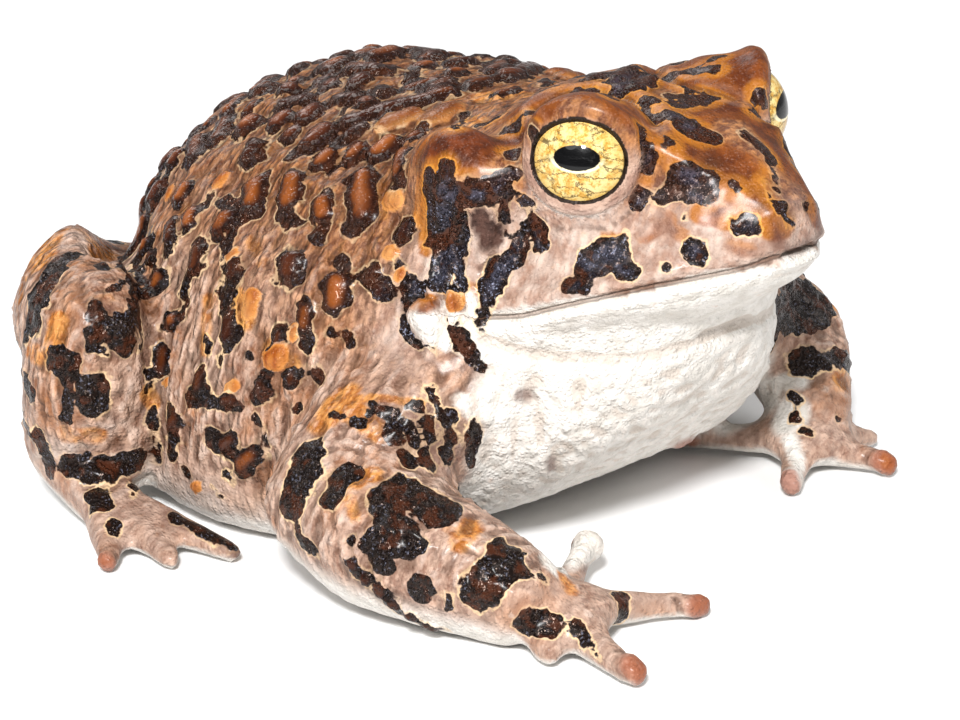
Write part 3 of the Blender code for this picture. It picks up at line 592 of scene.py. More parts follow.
class Canvas:
    """The skin's points, the lift of its relief and the fields that its colours are worked out from."""

    def __init__(self, obj):
        self.mesh = obj.data
        self.points = read_vectors(self.mesh.vertices, "co")
        self.normals = read_vectors(self.mesh.vertex_normals, "vector")
        self.edges = mesh_edges(self.mesh)
        self.node = nearest_nodes(self.points)
        size = len(self.points)
        self.lift = np.zeros(size)
        self.wobble = 1 + 0.42 * noise_field(self.points, 1.3 * MM, 5.0)
        self.fields = {name: np.zeros(size) for name in SKIN_FIELDS}
        self.fields["mouth"] = np.full(size, FAR_AWAY)
        self.fields["mark"] = np.full(size, -3.0 * MM)
        self.trees = {}

    def within(self, nodes):
        """Which points belong to the named solids; None means all."""
        if nodes is None:
            return np.ones(len(self.points), bool)
        return np.isin(self.node, [FLESH_NODES.index(n) for n in nodes])

    def both_sides(self, nodes):
        """Which points belong to the named solids or to their mirror images."""
        if nodes is None:
            return self.within(None)
        return self.within(nodes + tuple(n.replace("right", "left") for n in nodes))

    def tree(self, nodes):
        if nodes not in self.trees:
            inside = self.within(nodes)
            verts = [Vector(p) for p in self.points]
            faces = [tuple(p.vertices) for p in self.mesh.polygons if inside[p.vertices[0]]]
            self.trees[nodes] = BVHTree.FromPolygons(verts, faces)
        return self.trees[nodes]

    def spot(self, x, y, nodes=None):
        """The place on the skin that a pixel of the photograph shows, or the nearest to its line of sight."""
        ray = pixel_ray(x, y)
        tree = self.tree(nodes)
        hit = tree.ray_cast(CAMERA_PLACE, ray)[0]
        if hit is not None:
            return hit
        near = [tree.find_nearest(CAMERA_PLACE + ray * (SIGHT_START + SIGHT_STEP * i))
                for i in range(SIGHT_STEPS)]
        return min(near, key=lambda found: found[3])[0]

    def mirrored(self, point):
        across = Vector((point.x, 2 * MIDDLE_Y - point.y, point.z))
        return self.tree(None).find_nearest(across)[0]

    def pill(self, row, mirror, nodes=None):
        """Ends and radius in metres of a pill drawn on the photograph, with its mirror image if asked."""
        first, last = self.spot(row[0], row[1], nodes), self.spot(row[2], row[3], nodes)
        radius = row[4] * (first - CAMERA_PLACE).length / CAMERA_FOCUS_PIXELS
        pills = [(first, last, radius) + tuple(row[5:])]
        if mirror:
            pills.append((self.mirrored(first), self.mirrored(last), radius) + tuple(row[5:]))
        return pills

    def blotch(self, rows, mirror, nodes=None):
        inside = self.within(nodes)
        mark = self.fields["mark"]
        for row in rows:
            for first, last, radius in self.pill(row, mirror, nodes):
                depth = radius * BLOTCH_SPREAD - segment_distance(self.points, first, last)
                allowed = inside if not mirror else slice(None)
                mark[allowed] = np.maximum(mark[allowed], depth[allowed])

    def tint(self, name, rows, mirror, inner, outer, nodes=None):
        field = self.fields[name]
        allowed = self.both_sides(nodes) if mirror else self.within(nodes)
        for row in rows:
            for pill in self.pill(row, mirror, nodes):
                strength = pill[3] if len(pill) > 3 else 1.0
                away = segment_distance(self.points, pill[0], pill[1]) / pill[2]
                field[allowed] = np.maximum(field, strength * (1 - smooth_step(away, inner, outer)))[allowed]

    def dome(self, first, last, radius, height, top, skirt):
        """A wart: a glossy dome, brown at its top by an amount, in a black skirt some times as wide."""
        away = segment_distance(self.points, first, last) * self.wobble
        share = np.clip(1 - (away / radius) ** 2, 0, 1)
        self.lift = np.maximum(self.lift, height * share ** (0.55 if skirt else 0.72))
        if skirt:
            raised = Vector((0.0, 0.0, 0.20 * radius))
            above = segment_distance(self.points, Vector(first) + raised, Vector(last) + raised) * self.wobble
            cap = np.clip(1 - (above / (0.95 * radius)) ** 2, 0, 1)
            self.fields["wart"] = np.maximum(self.fields["wart"], cap * (0.4 + 0.6 * top))
            self.fields["mark"] = np.maximum(self.fields["mark"], radius * skirt - away)
        else:
            self.fields["gland"] = np.maximum(self.fields["gland"], top * share)
            self.fields["mark"] = np.minimum(self.fields["mark"], away - radius * 0.98)

    def crease(self, spots, depth, width, mirror=True, nodes=None):
        places = [self.spot(*s, nodes) for s in spots]
        for line in ([places, [self.mirrored(p) for p in places]] if mirror else [places]):
            away = polyline_distance(self.points, line)
            self.lift -= depth * np.exp(-(away / width) ** 2)
            self.lift += 0.35 * depth * np.exp(-((away - 2.2 * width) / width) ** 2)

    def blurred(self, values, rounds):
        """A field or a mask with its edges softened."""
        count = np.bincount(self.edges.ravel(), minlength=len(self.points)).astype(np.float64)
        for _ in range(rounds):
            values = 0.3 * values + 0.7 * neighbour_mean(values, self.edges, count)
        return values

    def hidden(self):
        """How far each point faces away from the photograph's camera, and its mirror image too."""
        back = np.array(CAMERA_BACK)
        other = back * np.array((1.0, -1.0, 1.0))
        return np.minimum(-(self.normals @ back), -(self.normals @ other)), -(self.normals @ back)


def region_weights(canvas_points):
    """How much each part of the skin is smoothed: the trunk most, toes and fingers least."""
    head_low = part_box("head")[0]
    to_head = smooth_step(canvas_points[:, 0], head_low[0] + 4 * MM, head_low[0] + 9 * MM)
    to_head *= smooth_step(canvas_points[:, 2], 0.016, 0.019)
    digits = np.zeros(len(canvas_points))
    for node in ("hand_right", "hand_left", "foot_right", "foot_left"):
        low, high = np.array(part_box(node)[0]), np.array(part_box(node)[1])
        outside = np.max(np.maximum(low - canvas_points, canvas_points - high), axis=1)
        digits = np.maximum(digits, 1 - smooth_step(outside, 0.0, 1.5 * MM))
    return to_head, digits


def build_skin(settings):
    obj = skin_base(settings.voxel)
    mesh = obj.data
    points = read_vectors(mesh.vertices, "co")
    edges = mesh_edges(mesh)
    head, digits = region_weights(points)
    points = relax(points, edges, 10, np.ones(len(points)), firm=True)
    points = relax(points, edges, 45, (1 - head) * (1 - digits))
    points = relax(points, edges, 4, (1 - digits))
    points = soften_snout(points, edges)
    set_coordinates(mesh, points)
    points = points - read_vectors(mesh.vertex_normals, "vector") * SEAM_SWELL
    points, lid, brow = shape_lids(points)
    set_coordinates(mesh, points)
    canvas = Canvas(obj)
    canvas.fields["lid"] = lid
    canvas.fields["amber"] = brow
    paint(canvas, settings)
    canvas.fields["ridge"] = ridges(canvas)
    fade = np.ones(len(points))
    for centre in (NEAR_EYE, FAR_EYE):
        away = np.linalg.norm(canvas.points - np.array(centre), axis=1)
        fade *= smooth_step(away, EYE_RADIUS + 0.9 * MM, EYE_RADIUS + 1.8 * MM)
    points = canvas.points + canvas.normals * (canvas.lift * fade)[:, None]
    set_coordinates(mesh, np.clip(points, np.array(CAD_BOX[0]), np.array(CAD_BOX[1])))
    canvas.fields["mark"] = canvas.fields["mark"] / MM
    for name, values in canvas.fields.items():
        attribute = mesh.attributes.new(name, "FLOAT", "POINT")
        attribute.data.foreach_set("value", values.astype(np.float32))
    mesh.shade_smooth()
    return obj


def ridges(canvas):
    """How far the relief stands over its surroundings: about 1 on ridges, -1 in furrows."""
    return np.clip((canvas.lift - canvas.blurred(canvas.lift, 7)) / (0.09 * MM), -1.5, 1.5)


# The opening of the lids, how far it sits below the eye's axis, and the turns that show the far eye rightly.
LID_HALF_WIDTH = 3.38 * MM
LID_HALF_HEIGHT = 2.90 * MM
LID_DROP = 0.10 * MM
# How wide the lid's roll is, how near its edge points are pulled on to it, and how far it stands off the
# eyeball.
LID_BAND = 2.4 * MM
LID_SNAP = 0.16 * MM
LID_GAP = 0.16 * MM
FAR_LID_TURN = math.radians(-12.0)
FAR_EYE_TURN = math.radians(-30.0)


def shape_lids(points):
    """Opens the skin over each eyeball, with a rolled lid; also gives the way out from the lid's edge."""
    lid = np.full(len(points), FAR_AWAY)
    brow = np.zeros(len(points))
    for side, centre in ((-1.0, NEAR_EYE), (1.0, FAR_EYE)):
        look, along, up = (np.array(v) for v in eye_axes(side))
        out = points - np.array(centre)
        reach = np.linalg.norm(out, axis=1)
        ways = out / reach[:, None]
        if side > 0:
            turned = np.array(Matrix.Rotation(FAR_LID_TURN, 3, "Z"))
            look, along, up = turned @ look, turned @ along, turned @ up
        look = look - up * LID_DROP / EYE_RADIUS
        look /= np.linalg.norm(look)
        angle = np.arccos(np.clip(ways @ look, -1, 1))
        turn = np.arctan2(ways @ up, ways @ along)
        half = 1 / np.sqrt((np.cos(turn) / LID_HALF_WIDTH) ** 2 + (np.sin(turn) / LID_HALF_HEIGHT) ** 2)
        rim = np.arcsin(half / EYE_RADIUS)
        beyond = (angle - rim) * EYE_RADIUS
        close = reach < EYE_RADIUS + 3.5 * MM
        lid = np.where(close, np.minimum(lid, beyond / MM), lid)
        over = smooth_step(np.sin(turn), 0.0, 0.8)
        arch = smooth_step(ways @ up, 0.30, 0.62) * smooth_step(beyond, 0.5 * MM, 1.5 * MM)
        brow = np.maximum(brow, arch * (1 - smooth_step(reach, EYE_RADIUS + 2.4 * MM, EYE_RADIUS + 4.5 * MM)))
        swelling = np.sin(np.clip(beyond / (1.1 * MM), 0, 1) * math.pi / 2) ** 0.7
        furrow = np.exp(-((beyond - 1.35 * MM) / (0.25 * MM)) ** 2) * (1 - over)
        roll = EYE_RADIUS + (0.18 + (0.40 + 0.60 * over) * swelling - 0.25 * furrow) * MM
        blend = 1 - smooth_step(beyond, 0.9 * MM, 2.2 * MM)
        band = close & (beyond >= 0.0) & (beyond < LID_BAND)
        reach = np.where(band, roll * blend + reach * (1 - blend), reach)
        held = close & (beyond > -LID_SNAP)
        reach = np.where(held, np.maximum(np.where(beyond < 0, 0.0, reach), EYE_RADIUS + LID_GAP), reach)
        inside = close & (beyond < 0.0) & (np.abs(beyond) >= LID_SNAP)
        reach = np.where(inside, EYE_RADIUS - (0.25 + 0.9 * smooth_step(-beyond, 0.0, 0.5 * MM)) * MM, reach)
        snap = close & (np.abs(beyond) < LID_SNAP)
        lid[snap] = 0.0
        swing = np.where(snap, rim, angle)
        tangent = ways - (ways @ look)[:, None] * look
        tangent /= np.linalg.norm(tangent, axis=1)[:, None] + 1e-9
        moved = look * np.cos(swing)[:, None] + tangent * np.sin(swing)[:, None]
        near = (close & (beyond < LID_BAND))[:, None]
        points = np.where(near, np.array(centre) + moved * reach[:, None], points)
    return points, lid, brow


def noise_field(points, scale, seed=0.0, stretch=(1.0, 1.0, 1.0)):
    """Smooth noise at each point; scale is its cell size in metres."""
    offset = Vector((seed, seed * 0.7, seed * 1.3))
    sx, sy, sz = (s / scale for s in stretch)
    return np.array([noise.noise(Vector((p[0] * sx, p[1] * sy, p[2] * sz)) + offset) for p in points])


def scatter(canvas, allowed, radii, spacing, taken, rng, most):
    """Seeded places on allowed points, none nearer to a taken one than both radii times spacing."""
    order = [int(i) for i in np.flatnonzero(allowed)]
    rng.shuffle(order)
    centres = np.array([place for place, _ in taken] or [(FAR_AWAY,) * 3])
    sizes = np.array([radius for _, radius in taken] or [0.0])
    made = []
    for index in order[:MOST_TRIES]:
        radius = rng.uniform(*radii)
        place = canvas.points[index]
        if np.all(np.linalg.norm(centres - place, axis=1) > (sizes + radius) * spacing):
            centres = np.vstack((centres, place))
            sizes = np.append(sizes, radius)
            made.append((index, radius))
            if len(made) == most:
                break
    taken += [(canvas.points[index], radius) for index, radius in made]
    return made


def upright(canvas, index, radius, height, rng, skirt):
    """A wart at one of the skin's points, drawn out down the side of the body."""
    place, normal = Vector(canvas.points[index]), Vector(canvas.normals[index])
    down = normal.cross(Vector((1.0, 0.0, 0.0))).normalized()
    reach = down * radius * rng.uniform(0.0, 0.6)
    top = rng.choice((0.3, 0.7, 0.9, 1.0))
    canvas.dome(place - reach, place + reach, radius, height * radius, top, skirt)


def lay_warts(canvas, height, rng):
    """Warts where the photograph shows them, with mirror images a little changed; gives the places taken."""
    taken = []
    for row in WARTS:
        for i, (first, last, radius, top) in enumerate(canvas.pill(row, True, TRUNK)):
            if i:
                shift = Vector((rng.uniform(-0.8, 0.8), 0.0, rng.uniform(-0.6, 0.6))) * MM
                first, last, radius = first + shift, last + shift, radius * rng.uniform(0.85, 1.1)
            radius *= 1.1
            canvas.dome(first, last, radius, height * radius, top, rng.uniform(1.05, 1.3))
            taken += [(np.array(place), radius) for place in (first, last, (first + last) / 2)]
    return taken


def lay_glands(canvas):
    """Glands with the black round them, and the eardrum in its raised rim; gives the places taken."""
    taken, glands = [], []
    for row in GLANDS:
        for first, last, radius in canvas.pill(row, True, TRUNK):
            glands.append((first, last, radius * 1.12, 1.0))
            taken += [(np.array(first), radius), (np.array(last), radius)]
    for row in CORNER_GLANDS:
        glands += [(first, last, radius, 0.0) for first, last, radius in canvas.pill(row, True, TRUNK)]
    for rows in (TRUNK_BLOTCHES, NECK_BLOTCHES):
        canvas.blotch(rows, True, TRUNK)
    for first, last, radius, orange in glands:
        canvas.dome(first, last, radius, 0.60 * radius, orange, 0.0)
    for first, last, radius in canvas.pill(EARDRUM, True, TRUNK):
        away = segment_distance(canvas.points, first, last) * canvas.wobble
        canvas.fields["drum"] = np.maximum(canvas.fields["drum"], 1 - smooth_step(away / radius, 0.80, 1.05))
        canvas.fields["mark"] = np.minimum(canvas.fields["mark"], away - radius)
        canvas.lift += 0.22 * MM * np.exp(-((away - radius) / (0.25 * MM)) ** 2)
    return taken


def scatter_warts(canvas, height, taken, rng):
    """Smaller seeded warts between the others: on the back, the rump and the unseen flank."""
    points, normals = canvas.points, canvas.normals
    torso = canvas.within(("torso",))
    behind = points[:, 0] < 9.0 * MM
    across = np.abs(points[:, 1] - MIDDLE_Y)
    high = points[:, 2] - 0.10 * across > 27 * MM
    crowded = torso & behind & high & (normals[:, 2] > 0.1)
    rear = torso & (points[:, 0] < -11 * MM) & (points[:, 2] > 13 * MM) & (normals[:, 2] > -0.3)
    flank = torso & (points[:, 0] < 0.0) & (points[:, 2] > 7 * MM) & (normals[:, 2] > -0.45)
    both = canvas.hidden()[0]
    for allowed, radii, spacing, most, skirts in (
            (crowded, (0.8 * MM, 1.5 * MM), 1.20, 120, (1.0, 1.25)),
            (rear, (0.6 * MM, 1.1 * MM), 1.35, 70, (1.05, 1.4)),
            (flank & (both > 0.15), (0.6 * MM, 1.15 * MM), 1.45, 60, (1.1, 1.5))):
        for index, radius in scatter(canvas, allowed, radii, spacing, taken, rng, most):
            upright(canvas, index, radius, height, rng, rng.uniform(*skirts))


def scatter_spots(canvas, rng):
    """Seeded black spots on the sides of the limbs that the photograph doesn't show."""
    points, normals = canvas.points, canvas.normals
    both, one = canvas.hidden()
    legs_hidden = canvas.within(NEAR_LEG + FAR_LEG) & (both > 0.1)
    arms_hidden = canvas.within(NEAR_ARM + FAR_ARM) & (one > 0.05)
    hidden_limb = (legs_hidden | arms_hidden) & (normals[:, 2] > -0.35) & (points[:, 2] > 4.0 * MM)
    hidden_limb &= canvas.fields["cream"] < 0.2
    for index, radius in scatter(canvas, hidden_limb, (0.7 * MM, 1.5 * MM), 1.7, [], rng, 90):
        place = points[index]
        lean = Vector((rng.uniform(-1, 1), rng.uniform(-1, 1), rng.uniform(-1, 1))) * radius
        depth = radius - segment_distance(points, Vector(place) - lean, Vector(place) + lean)
        canvas.fields["mark"] = np.maximum(canvas.fields["mark"], depth)


def scatter_bumps(canvas, taken, rng):
    """Small bare bumps over the trunk and the limbs."""
    points, normals = canvas.points, canvas.normals
    torso = canvas.within(("torso",))
    limb = canvas.within(NEAR_LEG + FAR_LEG + NEAR_ARM + FAR_ARM)
    small = (limb | (torso & (points[:, 2] > 6 * MM))) & (normals[:, 2] > -0.4) & (points[:, 2] > 3 * MM)
    for index, radius in scatter(canvas, small, (0.28 * MM, 0.5 * MM), 1.6, list(taken), rng, 320):
        away = np.linalg.norm(points - points[index], axis=1)
        canvas.lift = np.maximum(canvas.lift, 0.55 * radius * np.clip(1 - (away / radius) ** 2, 0, 1) ** 0.7)


def paint(canvas, settings):
    """Warts, glands, folds, mouth and nostrils, and the places of every colour."""
    rng = random.Random(SEED)
    taken = lay_warts(canvas, settings.wart_height, rng) + lay_glands(canvas)
    for blotches in LATER_BLOTCHES:
        canvas.blotch(*blotches)
    for tint in TINTS:
        canvas.tint(*tint)
    for row in ARM_BEADS:
        for first, last, radius in canvas.pill(row, False, NEAR_ARM):
            canvas.dome(first, last, radius, 0.9 * radius, 0.1, 1.0)
    scatter_warts(canvas, settings.wart_height, taken, rng)
    scatter_spots(canvas, rng)
    scatter_bumps(canvas, taken, rng)
    paint_relief(canvas)
    paint_grounds(canvas)


def paint_relief(canvas):
    """Mouth, folds, nostrils and the skin's own unevenness."""
    points = canvas.points
    canvas.crease(MOUTH_LINE, 0.45 * MM, 0.36 * MM, nodes=TRUNK)
    line = [canvas.spot(*s, TRUNK) for s in MOUTH_LINE]
    for side in (line, [canvas.mirrored(p) for p in line]):
        away = signed_distance(points, side) / MM
        mouth = canvas.fields["mouth"]
        canvas.fields["mouth"] = np.where(np.abs(away) < np.abs(mouth), away, mouth)
    for spots, depth, width, mirror, nodes in CREASES:
        canvas.crease(spots, depth * MM, width * MM, mirror, nodes)
    for side in (-1.0, 1.0):
        groove = [Vector((x, side * y, z)) * MM for x, y, z in LEG_HOLLOW]
        canvas.lift -= GROOVE_DEPTH * np.exp(-(polyline_distance(points, groove) / GROOVE_WIDTH) ** 2)
        x, y, z = KNEE_SWELL
        away = np.linalg.norm(points - np.array((x, side * y, z)) * MM, axis=1)
        canvas.lift += KNEE_RISE * np.exp(-(away / KNEE_REACH) ** 2)
    for first, last, radius in (pill for row in THUMB for pill in canvas.pill(row, False, NEAR_ARM)):
        away = segment_distance(points, first, last) / radius
        canvas.lift += 0.50 * MM * (1 - smooth_step(away, 0.5, 1.3)) * canvas.within(("hand_right",))
    place = canvas.spot(*NOSTRIL, TRUNK)
    for centre in (place, canvas.mirrored(place)):
        away = np.linalg.norm(points - np.array(centre), axis=1)
        canvas.lift += 0.25 * MM * np.exp(-(away / (1.1 * MM)) ** 2)
        canvas.lift -= 0.85 * MM * np.exp(-(away / (0.42 * MM)) ** 2)
        canvas.fields["mark"] = np.maximum(canvas.fields["mark"], 0.45 * MM - away)
    head, digits = region_weights(points)
    rough = noise_field(points, 1.1 * MM, 3.0)
    fold = noise_field(points, 1.15 * MM, 9.0, (1.0, 0.5, 0.33))
    soft = noise_field(points, 4.5 * MM, 21.0)
    domes = np.clip((canvas.fields["wart"] + canvas.fields["gland"]) * 2, 0, 1)
    flank = (1 - head) * (1 - digits) * smooth_step(points[:, 2], 2 * MM, 7 * MM) * (1 - domes)
    tips = canvas.fields["tips"]
    canvas.lift += 0.30 * MM * tips
    calm = (1 - 0.8 * domes) * (1 - 0.7 * digits)
    canvas.lift += (0.12 * MM * rough * (1 - 0.7 * head) + 0.10 * MM * soft) * calm
    canvas.lift += 0.55 * MM * (0.22 - np.abs(fold)) * flank
    lumps = noise_field(points, 0.9 * MM, 33.0)
    inked = smooth_step(canvas.fields["mark"] / MM, 0.0, 0.4) * calm
    canvas.lift += 0.22 * MM * np.abs(lumps) * inked


def paint_grounds(canvas):
    """The brown of the back and the cream of the underside."""
    points, normals = canvas.points, canvas.normals
    under = smooth_step(-normals[:, 2], 0.15, 0.6)
    low_flank = 1 - smooth_step(points[:, 2], 0.5 * MM, 6.0 * MM)
    inner = canvas.within(TRUNK)
    canvas.fields["cream"][canvas.within(("lower_jaw",))] = 1.0
    canvas.fields["cream"] = np.maximum(canvas.fields["cream"], np.maximum(under, 0.75 * low_flank * inner))
    throat = inner * smooth_step(points[:, 0], 8 * MM, 12 * MM)
    throat *= 1 - smooth_step(points[:, 2] - MOUTH_SLOPE * points[:, 0], 14.0 * MM, 15.0 * MM)
    canvas.fields["cream"] = np.maximum(canvas.fields["cream"], throat)
    canvas.fields["brown"] = smooth_step(points[:, 2] + 0.15 * points[:, 0], 13 * MM, 28 * MM)
    head = region_weights(points)[0]
    canvas.fields["brown"] *= 1 - 0.9 * head * (1 - smooth_step(points[:, 2], 28 * MM, 32 * MM))
    canvas.fields["head"] = head
    arms = canvas.blurred(canvas.within(NEAR_ARM + FAR_ARM).astype(np.float64), 15)
    canvas.fields["calm"] = np.maximum(np.maximum(head, region_weights(points)[1]), 0.6 * arms)


# Kinds of shader node in short: Blender's name, what is set on each, the inputs in order and the output used.
# Any other kind is an operation of the Math node.
KINDS = {
    "PLACE": ("ShaderNodeTexCoord", {}, (), "Object"),
    "UV": ("ShaderNodeUVMap", {}, (), "UV"),
    "FIELD": ("ShaderNodeAttribute", {}, (), "Fac"),
    "SPLIT": ("ShaderNodeSeparateXYZ", {}, ("Vector",), "X"),
    "STRETCH": ("ShaderNodeMapping", {}, ("Vector", "Scale"), "Vector"),
    "SCALE": ("ShaderNodeVectorMath", {"operation": "SCALE"}, (0, "Scale"), "Vector"),
    "SHIFT": ("ShaderNodeVectorMath", {"operation": "ADD"}, (0, 1), "Vector"),
    "TIMES": ("ShaderNodeVectorMath", {"operation": "MULTIPLY"}, (0, 1), "Vector"),
    "NOISE": ("ShaderNodeTexNoise", {}, ("Vector", "Scale", "Detail", "Roughness"), "Fac"),
    "CELLS": ("ShaderNodeTexVoronoi", {}, ("Vector", "Scale"), "Distance"),
    "EDGES": ("ShaderNodeTexVoronoi", {"feature": "DISTANCE_TO_EDGE"}, ("Vector", "Scale"), "Distance"),
    "SMOOTH": ("ShaderNodeMapRange", {"interpolation_type": "SMOOTHSTEP"}, ("Value", "From Min", "From Max"),
               "Result"),
    "MIX": ("ShaderNodeMix", {"data_type": "RGBA"}, (0, 6, 7), 2),
    "BUMP": ("ShaderNodeBump", {}, ("Height", "Strength", "Distance"), "Normal"),
}
# A texture's scale for a grain of one millimetre.
PER_MM = 1000.0


def add_node(tree, kind, *values, output=None, **settings):
    """Adds a node of a kind, fed in order by sockets, numbers or hex colours; gives one of its outputs."""
    name, fixed, inputs, main_output = KINDS.get(kind, ("ShaderNodeMath", {"operation": kind}, (0, 1), 0))
    node = tree.nodes.new(name)
    for key, setting in {**fixed, **settings}.items():
        setattr(node, key, setting)
    for key, value in zip(inputs, values):
        if isinstance(value, bpy.types.NodeSocket):
            tree.links.new(value, node.inputs[key])
        else:
            node.inputs[key].default_value = linear(value) if isinstance(value, str) else value
    return node.outputs[main_output if output is None else output]


def blank_material(name, constants):
    """A material with one shader, and constants on the shader's sockets."""
    material = bpy.data.materials.new(name)
    material.use_nodes = True
    tree = material.node_tree
    tree.nodes.clear()
    output = tree.nodes.new("ShaderNodeOutputMaterial")
    shader = tree.nodes.new("ShaderNodeBsdfPrincipled")
    tree.links.new(shader.outputs["BSDF"], output.inputs["Surface"])
    for key, value in constants.items():
        shader.inputs[key].default_value = value
    return material, tree, shader


def tan_ground(node, field, medium, broad, patch, streak, granule):
    """Fine streaks blotched with tan and brown: paler on the head, warm on the back and cream below; the
    streaks are pale where their bump rises and brown in its furrows, partly painted light, and the dark
    between the granules is painted shade.
    """
    cream, brown, head = (field[name] for name in ("cream", "brown", "head"))
    # Partly painted light: the streak's pale end lies on the raised part of the same streak bump, its brown
    # end in the furrows.
    ground = node("MIX", node("SMOOTH", streak, 0.30, 0.62), "#764E3A", "#CAA893")
    for clouds, low, high, share, tone in (
            (patch, 0.46, 0.62, 0.62, "#AA6C3A"), (broad, 0.42, 0.66, 0.3, "#CDB5A3"),
            (medium, 0.45, 0.7, 0.5, "#74452B")):
        ground = node("MIX", node("MULTIPLY", node("SMOOTH", clouds, low, high), share), ground, tone)
    warm = node("MIX", node("SMOOTH", streak, 0.36, 0.64), "#5E2E13", "#AE7342")
    cheek = node("MIX", node("SMOOTH", medium, 0.38, 0.62), "#A28476", "#D0BEB2")
    paler = node("ADD", node("MULTIPLY", head, 0.50), node("MULTIPLY", field["calm"], 0.30))
    ground = node("MIX", paler, ground, cheek)
    ground = node("MIX", node("MULTIPLY", brown, 0.95), ground, warm)
    # Painted shade between the granules of the bump.
    ground = node("MIX", node("MULTIPLY", node("SUBTRACT", 1.0, granule), 0.35), ground, "#5A3A2A")
    pale = node("MIX", node("SMOOTH", medium, 0.3, 0.7), "#CAC5BD", "#DEDAD4")
    ground = node("MIX", cream, ground, pale)
    return ground


def marked_ground(node, field, ground, rim, medium, broad, streak, granule):
    """The ground with its orange and deep brown skin, painted shade in the furrows and painted highlights on
    the ridges, glands, eardrum and pale rims.
    """
    mark, amber, cream, brown, head, gland, deep = (field[name] for name in (
        "mark", "amber", "cream", "brown", "head", "gland", "deep"))
    # Orange skin, brighter beside the black, and deep brown on the gland behind the eye.
    orange = node("MIX", node("SMOOTH", medium, 0.3, 0.7), "#58260A", "#864817")
    near_black = node("ADD", node("SMOOTH", mark, -1.3, -0.3), node("SUBTRACT", broad, 0.5))
    orange = node("MIX", node("SMOOTH", near_black, 0.35, 1.0), orange, "#9E5E19")
    tawny = node("MIX", node("SMOOTH", streak, 0.38, 0.62), "#9A5A22", "#C88A4C")
    orange = node("MIX", head, tawny, orange)
    blurred = node("ADD", node("MULTIPLY", medium, 0.6), node("MULTIPLY", broad, 0.6))
    dappled = node("SMOOTH", node("ADD", amber, blurred), 0.75, 1.45)
    ground = node("MIX", dappled, ground, orange)
    bark = node("MIX", node("SMOOTH", medium, 0.3, 0.7), "#3C1607", "#6A2F0E")
    ground = node("MIX", node("MULTIPLY", deep, node("SMOOTH", mark, 0.0, -0.9)), ground, bark)
    # Painted shade in the furrows of the relief, and painted highlights on its ridges.
    painted_furrow_shade = node("MULTIPLY", node("SMOOTH", field["ridge"], -0.10, -0.90), 0.55)
    ground = node("MIX", painted_furrow_shade, ground, node("MIX", cream, "#3E2416", "#B9A99B"))
    bare = node("SUBTRACT", 1.0, node("MAXIMUM", brown, head))
    painted_ridge_highlight = node("MULTIPLY", node("SMOOTH", field["ridge"], 0.15, 1.0),
               node("ADD", node("MULTIPLY", bare, 0.14), 0.06))
    ground = node("MIX", painted_ridge_highlight, ground, "#E8D8CC")
    ground = node("MIX", node("MULTIPLY", field["tips"], 0.8), ground, "#8A4422")

    # The glands, the eardrum and the pale rims.
    bead = node("MIX", node("SMOOTH", node("ADD", gland, medium), 0.70, 1.40), "#C07A36", "#8A4413")
    bead = node("MIX", node("MULTIPLY", granule, 0.4), bead, "#CE8A45")
    bead = node("MIX", node("MULTIPLY", node("SMOOTH", broad, 0.46, 0.60), 0.35), bead, "#DCAA6C")
    bead = node("MIX", deep, bead, bark)
    uneven = node("ADD", gland, node("SUBTRACT", node("MULTIPLY", medium, 0.8), 0.4))
    ground = node("MIX", node("SMOOTH", uneven, 0.10, 0.45), ground, bead)
    drum = node("MIX", node("SMOOTH", medium, 0.35, 0.65), "#281814", "#4C332B")
    ground = node("MIX", field["drum"], ground, drum)
    rim_colour = node("MIX", amber, "#E0C096", "#D6953C")
    rim = node("MULTIPLY", rim, node("MULTIPLY", node("SMOOTH", broad, 0.36, 0.62), 0.8))
    ground = node("MIX", rim, ground, rim_colour)
    # Brown tints, with painted shade in the armpit and painted shadow on the long toe and the foot.
    ground = node("MIX", node("MULTIPLY", field["faint"], 0.75), ground, "#5F4238")
    return ground


def black_skin(node, field, medium, patch, brown_top, place):
    """The black: brown clouds, painted blue-grey sheen in the middles on the head, fine painted glints, and
    brown caps on the warts with painted dome shading and a painted highlight.
    """
    mark, wart, brown, head = (field[name] for name in ("mark", "wart", "brown", "head"))
    patchy = node("MULTIPLY", node("SMOOTH", medium, 0.47, 0.60), 0.65)
    night = node("MIX", node("SMOOTH", medium, 0.50, 0.38), "#0C0504", "#3E1E10")
    night = node("MIX", node("MULTIPLY", brown, 0.5), night, "#3C1E10")
    # Painted sheen: blue-grey in the middles of the blotches on the head.
    painted_slate_sheen = node("MULTIPLY", node("SMOOTH", mark, 0.15, 0.80), node("SMOOTH", medium, 0.40, 0.56))
    painted_slate_sheen = node("MULTIPLY", painted_slate_sheen, node("MULTIPLY", head, 0.45))
    night = node("MIX", painted_slate_sheen, night, "#474A5C")
    # Painted highlights: fine pale blue-grey glints on the black, fewer on the brown back.
    painted_glint = node("MULTIPLY", node("SMOOTH", node("NOISE", place, PER_MM / 0.22, 2.0, 0.6), 0.56, 0.68),
                 node("ADD", node("MULTIPLY", head, 0.45), 0.40))
    painted_glint = node("MULTIPLY", painted_glint, node("SUBTRACT", 1.0, node("MULTIPLY", brown, 0.7)))
    dark = node("MIX", node("MULTIPLY", painted_glint, patchy), night, "#A3A8C0")
    # Brown wart caps that darken towards their edges, partly painted dome shading; the pale tip is a painted
    # highlight.
    dark = node("MIX", brown_top, dark,
                node("MIX", node("SMOOTH", wart, 0.30, 0.95), "#2E1208",
                     node("MIX", node("SMOOTH", patch, 0.40, 0.60), "#5A2C18", "#8C4A1C")))
    dark = node("MIX", node("MULTIPLY", node("SMOOTH", wart, 0.72, 1.0), 0.35), dark, "#AE7A5C")
    return dark


